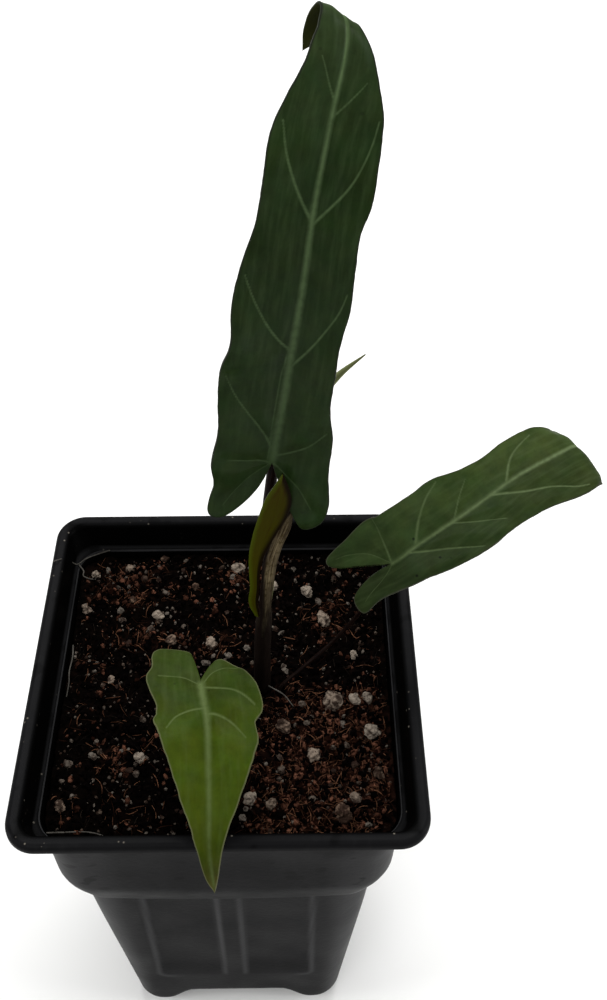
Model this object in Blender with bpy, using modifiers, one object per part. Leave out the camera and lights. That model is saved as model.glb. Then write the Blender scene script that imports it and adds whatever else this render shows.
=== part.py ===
"""A young potted alocasia: three arrow-shaped leaves in a square nursery pot.

The origin is the middle of the pot's foot on the ground, +Z is up and the front of
the pot faces -Y. Every length below is in millimetres and becomes metres when a mesh is made.
"""
import math

import bmesh
import bpy
import numpy as np

MM = 0.001

# Pot: a sheet of black plastic drawn into a square tapered cup
RIM_SIDE = 90.0
POT_HEIGHT = 121.0
SHEET = 0.9
RIM_DROP = 2.0
RIM_CORNER = 7.0
FOOT_HALF = 25.2
BODY_FOOT_HALF = 28.4
BODY_FOOT_Z = 4.5
BODY_TOP_HALF = 34.8
BODY_TOP_Z = 75.0
BODY_CORNER = 7.3
BAND_FOOT_HALF = 38.3
BAND_FOOT_Z = 87.5
BAND_CORNER = 9.0
LEDGE_Z = 110.6
LEDGE_HALF = 40.2
LEDGE_CORNER = 7.5
COLLAR_HALF = 42.7
ARCH_LIFT = 5.5
ARCH_FLAT = 11.5
ARCH_END = 19.0
PAD_HALF = 8.0
PANEL_DEPTH = 0.8
PANEL_RIB = 2.8
PANEL_EDGE = 20.6
PANEL_RAMP = 0.4
PANEL_FOOT_Z = 21.5
DRAIN_RADIUS = 3.0
DRAIN_REACH = 16.5
CORNER_STEPS = 5

# Soil
SOIL_Z = 109.6
SOIL_HALF = 38.7
SOIL_CORNER = 7.3
SOIL_GRID = 37
GAP = 0.3

# Where the stalks enter the soil: x, y, radius of the plain hole, depth
STEM_HOLE = (8.6, 0.2, 2.5, 14.0)
RIGHT_HOLE = (12.7, -1.6, 1.15, 12.0)
FRONT_HOLE = (4.4, -2.4, 1.15, 12.0)

# Leaves
BLADE = 0.7
TUBE_SIDES_STEP = 2
ROWS_PER_STEP = 2
SPINE_STEPS = 24
TANGENT_REACH = 0.6
RIB_HALF_WIDTH = 0.9
REACH = (-1.0, -0.68, -0.34, 0.0, 0.0, 0.0, 0.34, 0.68, 1.0)
MIDRIB = 4

# Spine points x, y, z; the across direction there; how far the left and right halves fold up in degrees
TALL_SPINE = (
    (9.2, -1.0, 169.5, 1.00, 0.00, 0.00, 12, 12),
    (12.2, 0.0, 187.8, 1.00, 0.00, 0.00, 12, 12),
    (15.2, -0.3, 208.0, 1.00, 0.00, 0.00, 12, 12),
    (18.2, -0.2, 231.0, 1.00, 0.00, 0.00, 12, 12),
    (20.4, 2.0, 249.0, 1.00, 0.00, 0.00, 12, 12),
    (23.0, 4.2, 263.0, 1.00, 0.00, 0.00, 12, 10),
    (25.2, 6.4, 273.8, 0.95, 0.05, -0.30, 10, 2),
    (25.5, 8.6, 279.0, 0.88, 0.10, -0.45, 6, 0),
    (23.2, 11.4, 278.1, 0.80, 0.10, -0.58, 4, 0),
    (18.6, 12.6, 272.2, 0.78, 0.10, -0.60, 4, 0),
)
RIGHT_SPINE = (
    (25.0, 2.0, 144.0, 0.39, -0.84, -0.38, 10, 10),
    (38.4, 5.7, 149.0, 0.39, -0.84, -0.38, 10, 10),
    (44.2, 9.1, 151.0, 0.39, -0.84, -0.38, 10, 10),
    (56.0, 17.0, 153.0, 0.39, -0.84, -0.38, 10, 10),
    (68.7, 27.2, 153.5, 0.38, -0.85, -0.38, 8, 10),
    (80.9, 35.7, 152.4, 0.38, -0.85, -0.38, -6, 8),
    (85.2, 38.7, 151.8, 0.38, -0.85, -0.38, -48, 8),
    (86.6, 40.1, 150.6, 0.38, -0.85, -0.38, -48, 8),
    (86.5, 41.0, 148.6, 0.38, -0.85, -0.38, -40, 6),
    (85.1, 40.9, 147.0, 0.38, -0.85, -0.38, -30, 4),
    (81.8, 39.8, 145.0, 0.38, -0.85, -0.38, -20, 2),
)
FRONT_SPINE = (
    (-5.6, 2.0, 126.0, -1.00, 0.00, 0.00, 10, 10),
    (-4.6, -12.0, 129.5, -1.00, 0.00, 0.00, 10, 10),
    (-2.8, -21.5, 130.4, -1.00, 0.00, 0.00, 10, 10),
    (-2.1, -31.0, 129.6, -1.00, 0.00, 0.00, 10, 10),
    (-1.6, -40.0, 127.6, -1.00, 0.00, 0.00, 12, 12),
    (-1.3, -47.2, 122.6, -1.00, 0.00, 0.00, 14, 14),
    (-0.6, -50.3, 112.5, -1.00, 0.00, 0.00, 14, 14),
)
# The stalk joins the midrib at this point of the three spines above, which is station 0
STALK_JOINT = 1

# Blade rows: station on the midrib; station and half-width of the left margin; the same of the right
TALL_ROWS = (
    (0.0, -1.2, 1.6, -0.8, 1.7),
    (0.0, -10.0, 3.5, -9.9, 5.7),
    (0.0, -15.0, 8.0, -16.4, 8.8),
    (0.0, -13.8, 11.6, -13.6, 12.5),
    (0.0, -6.3, 11.3, -6.5, 12.8),
    (0.0, 1.5, 12.6, 0.5, 11.6),
    (5.0, 10.4, 12.2, 9.5, 10.9),
    (12.0, 18.5, 13.1, 17.0, 9.2),
    (20.0, 26.0, 13.3, 25.9, 8.6),
    (28.0, 34.0, 12.1, 34.0, 8.5),
    (36.0, 42.0, 12.6, 42.0, 9.1),
    (44.0, 50.0, 11.7, 50.0, 8.8),
    (52.0, 58.0, 9.9, 57.5, 8.6),
    (60.0, 66.0, 9.7, 65.0, 9.7),
    (68.0, 74.0, 9.9, 73.0, 9.2),
    (76.0, 81.0, 8.3, 80.0, 8.1),
    (84.0, 86.2, 6.7, 85.6, 5.6),
    (88.4, 90.2, 6.0, 89.4, 4.3),
    (92.0, 93.4, 5.1, 92.6, 2.5),
    (95.5, 96.5, 4.0, 96.0, 1.7),
    (99.0, 99.6, 3.0, 99.4, 1.4),
    (102.2, 102.4, 1.5, 102.4, 0.9),
    (104.6, 104.7, 0.0, 104.7, 0.0),
)
RIGHT_ROWS = (
    (0.0, -1.2, 1.0, -1.2, 1.0),
    (0.0, -6.6, 3.4, -6.2, 1.9),
    (0.0, -12.6, 4.0, -10.0, 4.7),
    (0.0, -13.2, 6.6, -9.2, 7.6),
    (0.0, -8.0, 8.9, -5.0, 6.7),
    (0.0, -1.5, 11.2, 0.7, 7.3),
    (3.0, 5.6, 10.3, 6.0, 8.1),
    (9.0, 12.5, 10.3, 13.0, 9.4),
    (15.0, 18.6, 10.7, 20.0, 10.1),
    (22.0, 26.0, 8.8, 27.0, 9.7),
    (29.0, 33.0, 8.0, 34.0, 10.1),
    (36.0, 40.0, 8.6, 40.5, 10.7),
    (42.5, 46.0, 8.8, 47.0, 11.7),
    (47.5, 50.4, 8.2, 52.0, 11.8),
    (52.0, 54.2, 6.4, 55.6, 11.3),
    (56.0, 57.4, 5.0, 58.6, 10.4),
    (59.5, 60.5, 4.3, 61.4, 10.0),
    (62.5, 63.3, 3.4, 64.2, 8.6),
    (65.8, 66.4, 1.8, 66.8, 4.8),
    (68.5, 68.6, 0.0, 68.6, 0.0),
)
FRONT_ROWS = (
    (0.0, -1.4, 1.1, -1.4, 0.9),
    (0.0, -5.2, 2.7, -7.0, 1.7),
    (0.0, -6.6, 4.6, -10.2, 4.2),
    (0.0, -4.8, 6.9, -10.2, 8.6),
    (0.0, -1.8, 10.0, -5.5, 10.8),
    (0.0, 2.1, 11.8, -1.3, 12.1),
    (4.0, 6.8, 12.8, 4.0, 10.6),
    (8.0, 11.4, 11.4, 8.7, 11.3),
    (12.0, 15.2, 11.1, 13.0, 10.5),
    (17.0, 20.0, 9.7, 18.0, 8.6),
    (23.0, 26.0, 7.2, 25.0, 6.4),
    (29.0, 31.5, 4.7, 31.0, 4.4),
    (35.0, 37.0, 2.6, 37.0, 2.6),
    (41.0, 42.5, 1.3, 42.5, 1.6),
    (47.5, 47.7, 0.0, 47.7, 0.0),
)

# Stalks: x, y, z, radius, from the bottom of the hole to the blade
TALL_STALK = ((8.6, 0.2, 97.0, 1.1), (8.6, 0.2, 110.0, 1.1), (8.9, 0.1, 129.0, 1.1), (10.1, 0.1, 144.0, 1.1),
              (11.3, 0.2, 161.0, 1.1), (12.1, 0.6, 176.0, 1.1), (12.2, 0.75, 187.0, 1.1), (12.7, 0.2, 191.0, 0.7))
RIGHT_STALK = ((12.7, -1.6, 99.0, 0.8), (12.7, -1.6, 107.5, 0.8), (13.0, -1.6, 112.2, 0.8), (17.0, 0.9, 114.6, 0.8),
               (25.2, 5.3, 119.8, 0.8), (31.7, 5.6, 131.0, 0.8), (35.8, 5.5, 142.0, 0.8), (38.6, 6.0, 147.9, 0.8),
               (41.0, 7.2, 149.3, 0.5))
FRONT_STALK = ((4.4, -2.4, 99.0, 0.8), (4.4, -2.4, 111.0, 0.8), (3.6, -3.2, 119.0, 0.8), (0.2, -6.6, 126.2, 0.8),
               (-4.0, -11.6, 128.4, 0.8), (-4.2, -14.5, 129.0, 0.5))
NEW_LEAF = ((10.4, 1.95, 138.4, 0.6), (11.1, 2.45, 146.5, 0.8), (12.0, 2.9, 160.0, 0.85), (13.0, 3.4, 169.0, 0.85),
            (16.2, 5.0, 181.0, 0.85), (20.8, 6.9, 193.0, 0.75), (25.0, 7.9, 203.0, 0.6), (27.4, 8.1, 207.0, 0.45),
            (30.4, 8.0, 210.6, 0.3))

# Sheaths: rows as for the leaves, on their own short spines
SHEATH_WALL = 0.6
SHEATH_OUTER = 2.0
SHEATH_INNER = 1.4
SHEATH_TOP_Z = 138.0
GREEN_SPINE = (
    (8.4, -2.98, 141.6, 1.0, 0.1, 0.0, -20, -10),
    (7.9, -3.28, 147.0, 1.0, 0.1, 0.0, -26, -10),
    (8.3, -3.58, 152.5, 1.0, 0.1, 0.0, -28, -10),
    (8.5, -3.68, 158.0, 1.0, 0.1, 0.0, -28, -10),
    (9.1, -3.78, 163.6, 1.0, 0.1, 0.0, -26, -10),
    (10.6, -3.78, 169.2, 1.0, 0.1, 0.0, -22, -10),
    (12.3, -3.58, 175.2, 1.0, 0.1, 0.0, -16, -10),
    (13.5, -3.18, 181.0, 1.0, 0.1, 0.0, -8, -6),
    (14.3, -2.68, 186.0, 1.0, 0.1, 0.0, 0, 0),
)
GREEN_ROWS = (
    (0.0, 0.3, 0.6, 0.2, 0.5),
    (5.0, 4.4, 1.5, 4.8, 1.1),
    (11.0, 10.6, 1.3, 11.0, 1.1),
    (17.0, 16.6, 1.7, 17.0, 1.3),
    (23.0, 22.8, 2.3, 23.0, 1.9),
    (29.0, 29.0, 2.9, 29.0, 2.5),
    (35.0, 35.2, 3.0, 35.0, 3.0),
    (40.0, 40.2, 2.3, 40.0, 2.4),
    (45.0, 45.1, 0.0, 45.1, 0.0),
)
DRY_SPINE = (
    (9.3, -1.8, 132.0, 1.0, 0.1, 0.0, -30, -40),
    (9.9, -2.0, 141.0, 1.0, 0.1, 0.0, -14, -38),
    (10.4, -2.2, 149.4, 1.0, 0.1, 0.0, -6, -34),
    (11.0, -2.3, 157.3, 1.0, 0.1, 0.0, 0, -30),
    (12.1, -2.2, 163.6, 1.0, 0.1, 0.0, 0, -24),
    (13.8, -2.1, 169.6, 1.0, 0.1, 0.0, 0, -16),
    (15.8, -1.8, 175.6, 1.0, 0.1, 0.0, 0, -8),
)
DRY_ROWS = (
    (0.0, 0.2, 1.2, 0.2, 1.2),
    (9.0, 9.0, 1.1, 9.0, 1.5),
    (17.5, 17.5, 1.2, 17.5, 1.7),
    (25.5, 25.5, 1.5, 25.5, 2.0),
    (32.5, 32.5, 1.6, 32.0, 1.9),
    (39.0, 39.4, 1.2, 38.6, 1.3),
    (44.1, 44.2, 0.0, 44.2, 0.0),
)

# The larger lumps of perlite and coir that stand out of the soil: x, y, size
LUMPS = (
    (26.1, -4.7, 4.3), (26.5, -33.3, 4.4), (19.5, 27.8, 2.8), (23.9, 19.9, 4.1), (-14.1, 13.5, 3.2),
    (-4.3, 12.5, 3.2), (-18.2, 21.1, 2.8), (14.6, -11.5, 2.8), (20.9, -18.1, 3.0), (34.0, -13.5, 3.6),
    (-35.6, -28.8, 3.0), (1.9, 36.6, 3.2), (-36.5, 23.5, 2.8), (9.6, -30.3, 3.0), (-19.2, -18.1, 3.0),
    (33.5, -25.0, 3.2), (30.0, 8.0, 2.8), (-28.0, 2.0, 3.0), (-30.0, 31.0, 2.8), (-12.0, -26.0, 2.8),
)


def clear_scene():
    for item in list(bpy.data.objects):
        bpy.data.objects.remove(item, do_unlink=True)


def new_collection(name):
    group = bpy.data.collections.new(name)
    bpy.context.scene.collection.children.link(group)
    return group


def linear(hex_colour):
    """Turn a six-digit sRGB colour into linear red, green, blue and a full alpha."""
    parts = [int(hex_colour[i:i + 2], 16) / 255 for i in (0, 2, 4)]
    curve = [c / 12.92 if c <= 0.04045 else ((c + 0.055) / 1.055) ** 2.4 for c in parts]
    return (*curve, 1.0)


def material(name, hex_colour, roughness, metallic=0.0):
    made = bpy.data.materials.new(name)
    made.use_nodes = True
    shader = made.node_tree.nodes["Principled BSDF"]
    shader.inputs["Base Color"].default_value = linear(hex_colour)
    shader.inputs["Roughness"].default_value = roughness
    shader.inputs["Metallic"].default_value = metallic
    made.diffuse_color = linear(hex_colour)
    return made


def mesh_object(name, points, faces, group, finish=None):
    """Make an object of points in millimetres and faces that name them."""
    mesh = bpy.data.meshes.new(name)
    mesh.from_pydata((np.asarray(points) * MM).tolist(), [], faces)
    mesh.update()
    made = bpy.data.objects.new(name, mesh)
    group.objects.link(made)
    if finish is not None:
        mesh.materials.append(finish)
    return made


def shade_round(item, degrees=35):
    item.data.shade_smooth()
    item.data.set_sharp_from_angle(angle=math.radians(degrees))


def evaluated_copy(item, name, group):
    """Bake an object's modifiers or curve into a plain mesh object, and remove the original."""
    bpy.context.view_layer.update()
    graph = bpy.context.evaluated_depsgraph_get()
    mesh = bpy.data.meshes.new_from_object(item.evaluated_get(graph))
    work = bmesh.new()
    work.from_mesh(mesh)
    bmesh.ops.remove_doubles(work, verts=work.verts, dist=1e-6)
    work.to_mesh(mesh)
    work.free()
    made = bpy.data.objects.new(name, mesh)
    made.matrix_world = item.matrix_world
    group.objects.link(made)
    bpy.data.objects.remove(item, do_unlink=True)
    made.name = name
    return made


def combine(base, others, operation, solver="EXACT"):
    """Apply one Boolean of a collection of objects to the base, then remove those objects."""
    group = new_collection(base.name + "_" + operation.lower())
    for other in others:
        for holder in list(other.users_collection):
            holder.objects.unlink(other)
        group.objects.link(other)
    step = base.modifiers.new("combine", "BOOLEAN")
    step.operation = operation
    step.operand_type = "COLLECTION"
    step.collection = group
    step.solver = solver
    bpy.context.view_layer.update()
    graph = bpy.context.evaluated_depsgraph_get()
    result = bpy.data.meshes.new_from_object(base.evaluated_get(graph))
    base.modifiers.remove(step)
    old = base.data
    finishes = list(old.materials)
    base.data = result
    base.data.materials.clear()
    for finish in finishes:
        base.data.materials.append(finish)
    bpy.data.meshes.remove(old)
    for other in others:
        bpy.data.objects.remove(other, do_unlink=True)
    bpy.data.collections.remove(group)


def smooth_rows(rows, per_step):
    """Catmull-Rom curve through the rows of a table, with per_step intervals between two rows."""
    table = np.asarray(rows, float)
    padded = np.vstack([2 * table[0] - table[1], table, 2 * table[-1] - table[-2]])
    spans = len(table) - 1
    place = np.linspace(0, spans, spans * per_step + 1)
    first = np.minimum(place.astype(int), spans - 1)
    part = (place - first)[:, None]
    a, b, c, d = (padded[first + k] for k in range(4))
    return 0.5 * (2 * b + (c - a) * part + (2 * a - 5 * b + 4 * c - d) * part ** 2
                  + (3 * b - a - 3 * c + d) * part ** 3)


def tube(name, stations, group):
    """A round stalk along x, y, z, radius stations: a curve bevelled to each station's radius."""
    path = smooth_rows(stations, 4)
    curve = bpy.data.curves.new(name, "CURVE")
    curve.dimensions = "3D"
    curve.bevel_depth = MM
    curve.bevel_resolution = TUBE_SIDES_STEP
    curve.use_fill_caps = True
    line = curve.splines.new("POLY")
    line.points.add(len(path) - 1)
    for point, (x, y, z, radius) in zip(line.points, path):
        point.co = (x * MM, y * MM, z * MM, 1.0)
        point.radius = radius
    item = bpy.data.objects.new(name, curve)
    group.objects.link(item)
    return evaluated_copy(item, name, group)


def bend(spine, start, stations, offsets):
    """Carry flat blade places (station, offset) onto the spine.

    A place is the spine point at its station, plus its offset along the across direction turned up by
    that half's fold. Stations are lengths along the spine from its point number start. Also gives the
    direction that the blade's upper face looks in.
    """
    fine = smooth_rows(spine, SPINE_STEPS)
    length = np.concatenate([[0], np.cumsum(np.linalg.norm(np.diff(fine[:, :3], axis=0), axis=1))])
    length -= length[start * SPINE_STEPS]
    stations = np.clip(stations, length[0], length[-1])
    at = np.stack([np.interp(stations, length, fine[:, k]) for k in range(8)], -1)
    ahead = np.stack([np.interp(stations + TANGENT_REACH, length, fine[:, k]) for k in range(3)], -1)
    behind = np.stack([np.interp(stations - TANGENT_REACH, length, fine[:, k]) for k in range(3)], -1)
    along = ahead - behind
    along /= np.linalg.norm(along, axis=-1, keepdims=True)
    across = at[..., 3:6] - (at[..., 3:6] * along).sum(-1, keepdims=True) * along
    across /= np.linalg.norm(across, axis=-1, keepdims=True)
    up = np.cross(across, along)
    fold = np.radians(np.where(offsets < 0, at[..., 6], at[..., 7]))
    place = at[..., :3] + (offsets * np.cos(fold))[..., None] * across
    place += (np.abs(offsets) * np.sin(fold))[..., None] * up
    return place, up


def blade(name, spine, start, rows, finish, group, thickness, rib=0.0, waves=()):
    """A leaf blade as one closed solid.

    Each row runs from a point of the midrib out to the left and right margins, so the rows fan round
    the lobes. The upper and lower faces are the same grid half a thickness to either side, the lower
    one sunk by a rib that tapers to the tip, and both are split into the same triangles.
    """
    fine = smooth_rows(rows, ROWS_PER_STEP)
    root = np.maximum(fine[:, 0], 0)
    stations = np.zeros((len(fine), len(REACH)))
    offsets = np.zeros_like(stations)
    for column, part in enumerate(REACH):
        margin, half = (fine[:, 1], -fine[:, 2]) if column < MIDRIB else (fine[:, 3], fine[:, 4])
        span = np.maximum(np.hypot(margin - root, half), 1e-6)
        if column == MIDRIB:
            share = 0.0
        elif part == 0.0:
            share = np.minimum(RIB_HALF_WIDTH / span, 0.2)
        else:
            share = abs(part)
        stations[:, column] = root + (margin - root) * share
        offsets[:, column] = half * share
    middle, up = bend(spine, start, stations, offsets)
    for size, pitch, phase in waves:
        swell = size * (np.abs(offsets) / 12) ** 2 * np.sin(2 * np.pi * stations / pitch + phase + (offsets > 0) * 2)
        middle = middle + swell[..., None] * up
    taper = np.clip(1 - root / root[-1], 0.0, 1)[:, None]
    ridge = (np.arange(len(REACH)) == MIDRIB)[None, :] * rib * taper
    top = middle + up * thickness / 2
    bottom = middle - up * (thickness / 2 + ridge)[..., None]
    count_rows, count_columns = stations.shape
    index = np.arange(count_rows * count_columns).reshape(count_rows, count_columns)
    fan = int((root < 1e-6).sum())
    index[:fan, MIDRIB] = index[0, MIDRIB]
    index[-1, :] = index[-1, MIDRIB]
    shift = count_rows * count_columns
    faces = []

    def triangle(a, b, c):
        if len({a, b, c}) == 3:
            faces.append((int(a), int(b), int(c)))

    for r in range(count_rows - 1):
        for c in range(count_columns - 1):
            a, b, d, e = index[r, c], index[r, c + 1], index[r + 1, c + 1], index[r + 1, c]
            split = ((a, b, d), (a, d, e)) if c < MIDRIB else ((a, b, e), (b, d, e))
            for one in split:
                triangle(*one)
                triangle(*(one[k] + shift for k in (0, 2, 1)))
    edge = [index[0, c] for c in range(count_columns)]
    edge += [index[r, -1] for r in range(1, count_rows)]
    edge += [index[r, 0] for r in range(count_rows - 2, -1, -1)]
    for a, b in zip(edge[:-1], edge[1:]):
        if a != b:
            triangle(b, a, a + shift)
            triangle(b, a + shift, b + shift)
    points = np.concatenate([top.reshape(-1, 3), bottom.reshape(-1, 3)])
    used = sorted({k for face in faces for k in face})
    place = {k: n for n, k in enumerate(used)}
    return mesh_object(name, points[used], [tuple(place[k] for k in face) for face in faces], group, finish)


def square_ring(half, corner, columns):
    """Points round a square with rounded corners, front side first, anticlockwise from above.

    The straight part of each side carries a point at each of the columns, squeezed in if it is shorter.
    """
    flat = half - corner
    squeeze = min(1.0, flat / max(columns))
    side = np.array([-c for c in reversed(columns)] + list(columns)) * squeeze
    turn = np.linspace(-math.pi / 2, 0, CORNER_STEPS + 1)[1:-1]
    edge = [(x, -half) for x in side]
    edge += [(flat + corner * math.cos(t), -flat + corner * math.sin(t)) for t in turn]
    ring = []
    for quarter in range(4):
        c, s = round(math.cos(quarter * math.pi / 2)), round(math.sin(quarter * math.pi / 2))
        ring += [(c * x - s * y, s * x + c * y) for x, y in edge]
    return np.array(ring)


def ramp(value, start, end):
    """Smooth step from 0 at start to 1 at end."""
    part = np.clip((value - start) / (end - start), 0, 1)
    return part * part * (3 - 2 * part)


def foot_height(x, y):
    """Height of the pot's floor: arched up between four corner feet and round a centre foot."""
    corner = ramp(np.abs(x), ARCH_FLAT, ARCH_END) * ramp(np.abs(y), ARCH_FLAT, ARCH_END)
    centre = 1 - ramp(np.maximum(np.abs(x), np.abs(y)), PAD_HALF, PAD_HALF + 2.5)
    return ARCH_LIFT * (1 - corner) * (1 - centre)


def body_half(z):
    """Half-width of the tapered lower body at height z."""
    return BODY_FOOT_HALF + (BODY_TOP_HALF - BODY_FOOT_HALF) * (z - BODY_FOOT_Z) / (BODY_TOP_Z - BODY_FOOT_Z)


def make_pot(group, cutters):
    """The pot: rings of a rounded square joined into a sheet, thickened inwards, with drain holes."""
    columns = (PANEL_RIB - PANEL_RAMP, PANEL_RIB + PANEL_RAMP, ARCH_FLAT, PANEL_EDGE - PANEL_RAMP,
               PANEL_EDGE + PANEL_RAMP)
    rings = []

    def add(half, corner, z):
        flat = square_ring(half, corner, columns)
        rings.append(np.column_stack([flat, np.broadcast_to(z, len(flat))]))

    for half in (4.0, PAD_HALF, PAD_HALF + 2.5, 15.5, 20.0, FOOT_HALF):
        flat = square_ring(half, BODY_CORNER * half / BODY_FOOT_HALF, columns)
        rings.append(np.column_stack([flat, foot_height(flat[:, 0], flat[:, 1])]))
    arch = foot_height(*(square_ring(FOOT_HALF, BODY_CORNER, columns).T))
    for inset, rise in ((1.1, 1.5), (0.0, BODY_FOOT_Z)):
        height = arch + rise
        flat = square_ring(BODY_FOOT_HALF, BODY_CORNER, columns)
        scale = ((body_half(arch + BODY_FOOT_Z) - inset) / BODY_FOOT_HALF)[:, None]
        rings.append(np.column_stack([flat * scale, height]))
    for z in (PANEL_FOOT_Z - 1.0, PANEL_FOOT_Z + 1.0, 50.0, BODY_TOP_Z):
        flat = square_ring(body_half(z), BODY_CORNER, columns)
        if z > PANEL_FOOT_Z:
            side = np.minimum(np.abs(flat[:, 0]), np.abs(flat[:, 1]))
            sunk = (side > PANEL_RIB) & (side < PANEL_EDGE)
            face = np.where(np.abs(flat[:, :1]) > np.abs(flat[:, 1:]), [[1, 0]], [[0, 1]])
            flat = flat - np.sign(flat) * face * (sunk * PANEL_DEPTH)[:, None]
        rings.append(np.column_stack([flat, np.full(len(flat), z)]))
    add(BODY_TOP_HALF + 0.9, BODY_CORNER + 1.3, BODY_TOP_Z + 1.6)
    add(BODY_TOP_HALF + 2.2, BAND_CORNER + 0.3, BODY_TOP_Z + 5.2)
    add(BAND_FOOT_HALF, BAND_CORNER, BAND_FOOT_Z)
    rim_inner = RIM_SIDE / 2 - SHEET
    flange = POT_HEIGHT - SHEET
    add(LEDGE_HALF, LEDGE_CORNER, LEDGE_Z)
    add(COLLAR_HALF - 0.1, RIM_CORNER - 1.6, LEDGE_Z + 0.8)
    add(COLLAR_HALF, RIM_CORNER - 2.2, flange - 0.7)
    add(COLLAR_HALF + 0.4, RIM_CORNER - 2.0, flange)
    add(rim_inner - 0.25, RIM_CORNER - 1.1, flange)
    add(rim_inner, RIM_CORNER - SHEET, flange - 0.3)
    add(rim_inner, RIM_CORNER - SHEET, POT_HEIGHT - RIM_DROP)

    points = [(0.0, 0.0, 0.0)]
    faces = []
    around = len(rings[0])
    for ring in rings:
        points += ring.tolist()
    for k in range(around):
        faces.append((0, 1 + (k + 1) % around, 1 + k))
    for level in range(len(rings) - 1):
        low, high = 1 + level * around, 1 + (level + 1) * around
        for k in range(around):
            n = (k + 1) % around
            faces.append((low + k, low + n, high + n, high + k))
    finish = material("black_thermoformed_plastic", "2c2c2d", 0.42)
    pot = mesh_object("pot", points, faces, group, finish)
    wall = pot.modifiers.new("sheet", "SOLIDIFY")
    wall.thickness = SHEET * MM
    wall.offset = -1
    wall.use_even_offset = True
    for k, (x, y) in enumerate(((1, 0), (0, 1), (-1, 0), (0, -1))):
        bpy.ops.mesh.primitive_cylinder_add(vertices=12, radius=DRAIN_RADIUS * MM, depth=6 * SHEET * MM,
                                            location=(x * DRAIN_REACH * MM, y * DRAIN_REACH * MM, ARCH_LIFT * MM))
        drill = bpy.context.object
        drill.name = "drain_cutter_%d" % k
        drill.hide_render = True
        drill.display_type = "WIRE"
        for holder in list(drill.users_collection):
            holder.objects.unlink(drill)
        cutters.objects.link(drill)
        cut = pot.modifiers.new("drain_%d" % k, "BOOLEAN")
        cut.operation = "DIFFERENCE"
        cut.object = drill
    shade_round(pot)
    return pot


def soil_relief(x, y, draw):
    """Height of the soil's crumbly top: low swells, with seeded round crumbs raised on them."""
    height = 0.5 * np.sin(x / 9 + 0.6) * np.cos(y / 11 - 0.4) + 0.3 * np.sin(x / 4.1 - y / 5.3)
    edge = ramp(np.maximum(np.abs(x), np.abs(y)), SOIL_HALF - 5, SOIL_HALF)
    centres = draw.uniform(-SOIL_HALF, SOIL_HALF, (150, 2))
    sizes = draw.uniform(1.8, 3.6, 150)
    for (cx, cy), size in zip(centres, sizes):
        far = ((x - cx) ** 2 + (y - cy) ** 2) / size ** 2
        height = np.maximum(height, 0.45 * size * np.sqrt(np.clip(1 - far, 0, 1)) - 0.2)
    return height * (1 - 0.55 * edge)


def make_soil(group):
    """The potting mix: a plug that fits the pot, with a crumbly top, lumps on it and holes for the stalks."""
    draw = np.random.default_rng(11)
    line = np.linspace(-1, 1, SOIL_GRID)
    gx, gy = np.meshgrid(line * SOIL_HALF, line * SOIL_HALF, indexing="ij")
    centre = SOIL_HALF - SOIL_CORNER
    over_x = np.maximum(np.abs(gx) - centre, 0)
    over_y = np.maximum(np.abs(gy) - centre, 0)
    largest = np.maximum(over_x, over_y)
    pull = np.where(np.minimum(over_x, over_y) > 0, largest / np.maximum(np.hypot(over_x, over_y), 1e-9), 1)
    gx = np.sign(gx) * (np.minimum(np.abs(gx), centre) + over_x * pull)
    gy = np.sign(gy) * (np.minimum(np.abs(gy), centre) + over_y * pull)
    top = np.stack([gx, gy, SOIL_Z + soil_relief(gx, gy, draw)], -1)
    n = SOIL_GRID
    points = top.reshape(-1, 3).tolist()
    faces = []
    for i in range(n - 1):
        for j in range(n - 1):
            a, b, c, d = i * n + j, (i + 1) * n + j, (i + 1) * n + j + 1, i * n + j + 1
            faces += [(a, b, c), (a, c, d)]
    border = [i * n for i in range(n)] + [(n - 1) * n + j for j in range(1, n)]
    border += [i * n + n - 1 for i in range(n - 2, -1, -1)] + [j for j in range(n - 2, 0, -1)]
    rim = np.array([points[k][:2] for k in border])
    rim_half = np.abs(rim).max(axis=1)
    levels = ((SOIL_HALF - 4.6, BAND_FOOT_Z + 1.0), (body_half(75.5) - 2.4, 75.5), (body_half(12.5) - 2.6, 12.5),
              (BODY_FOOT_HALF - 3.6, ARCH_LIFT + SHEET + GAP))
    previous = border
    for half, z in levels:
        ring = []
        for x, y in rim * (half / SOIL_HALF):
            ring.append(len(points))
            points.append([x, y, z])
        for k in range(len(border)):
            m = (k + 1) % len(border)
            faces.append((previous[k], ring[k], ring[m], previous[m]))
        previous = ring
    faces.append(tuple(reversed(previous)))
    finish = material("peat_and_coir_mix", "1a1310", 0.95)
    soil = mesh_object("soil", points, faces, group, finish)
    lumps = []
    for k, (x, y, size) in enumerate(LUMPS):
        lump = bmesh.new()
        bmesh.ops.create_icosphere(lump, subdivisions=1, radius=size / 2 * MM)
        squash = draw.uniform(0.8, 1.15, 3)
        for vertex in lump.verts:
            vertex.co.x *= squash[0] * (1 + 0.12 * math.sin(7 * k + vertex.index))
            vertex.co.y *= squash[1]
            vertex.co.z *= squash[2] * 0.85
        mesh = bpy.data.meshes.new("lump_%02d" % k)
        lump.to_mesh(mesh)
        lump.free()
        item = bpy.data.objects.new(mesh.name, mesh)
        item.location = (x * MM, y * MM, (SOIL_Z + 0.25 * size) * MM)
        group.objects.link(item)
        lumps.append(item)
    combine(soil, lumps, "UNION")
    drills = []
    for k, (x, y, radius, depth) in enumerate((STEM_HOLE, RIGHT_HOLE, FRONT_HOLE)):
        bpy.ops.mesh.primitive_cylinder_add(vertices=12, radius=radius * MM, depth=(depth + 12) * MM,
                                            location=(x * MM, y * MM, (SOIL_Z - depth + (depth + 12) / 2) * MM))
        drills.append(bpy.context.object)
    combine(soil, drills, "DIFFERENCE")
    return soil


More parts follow.
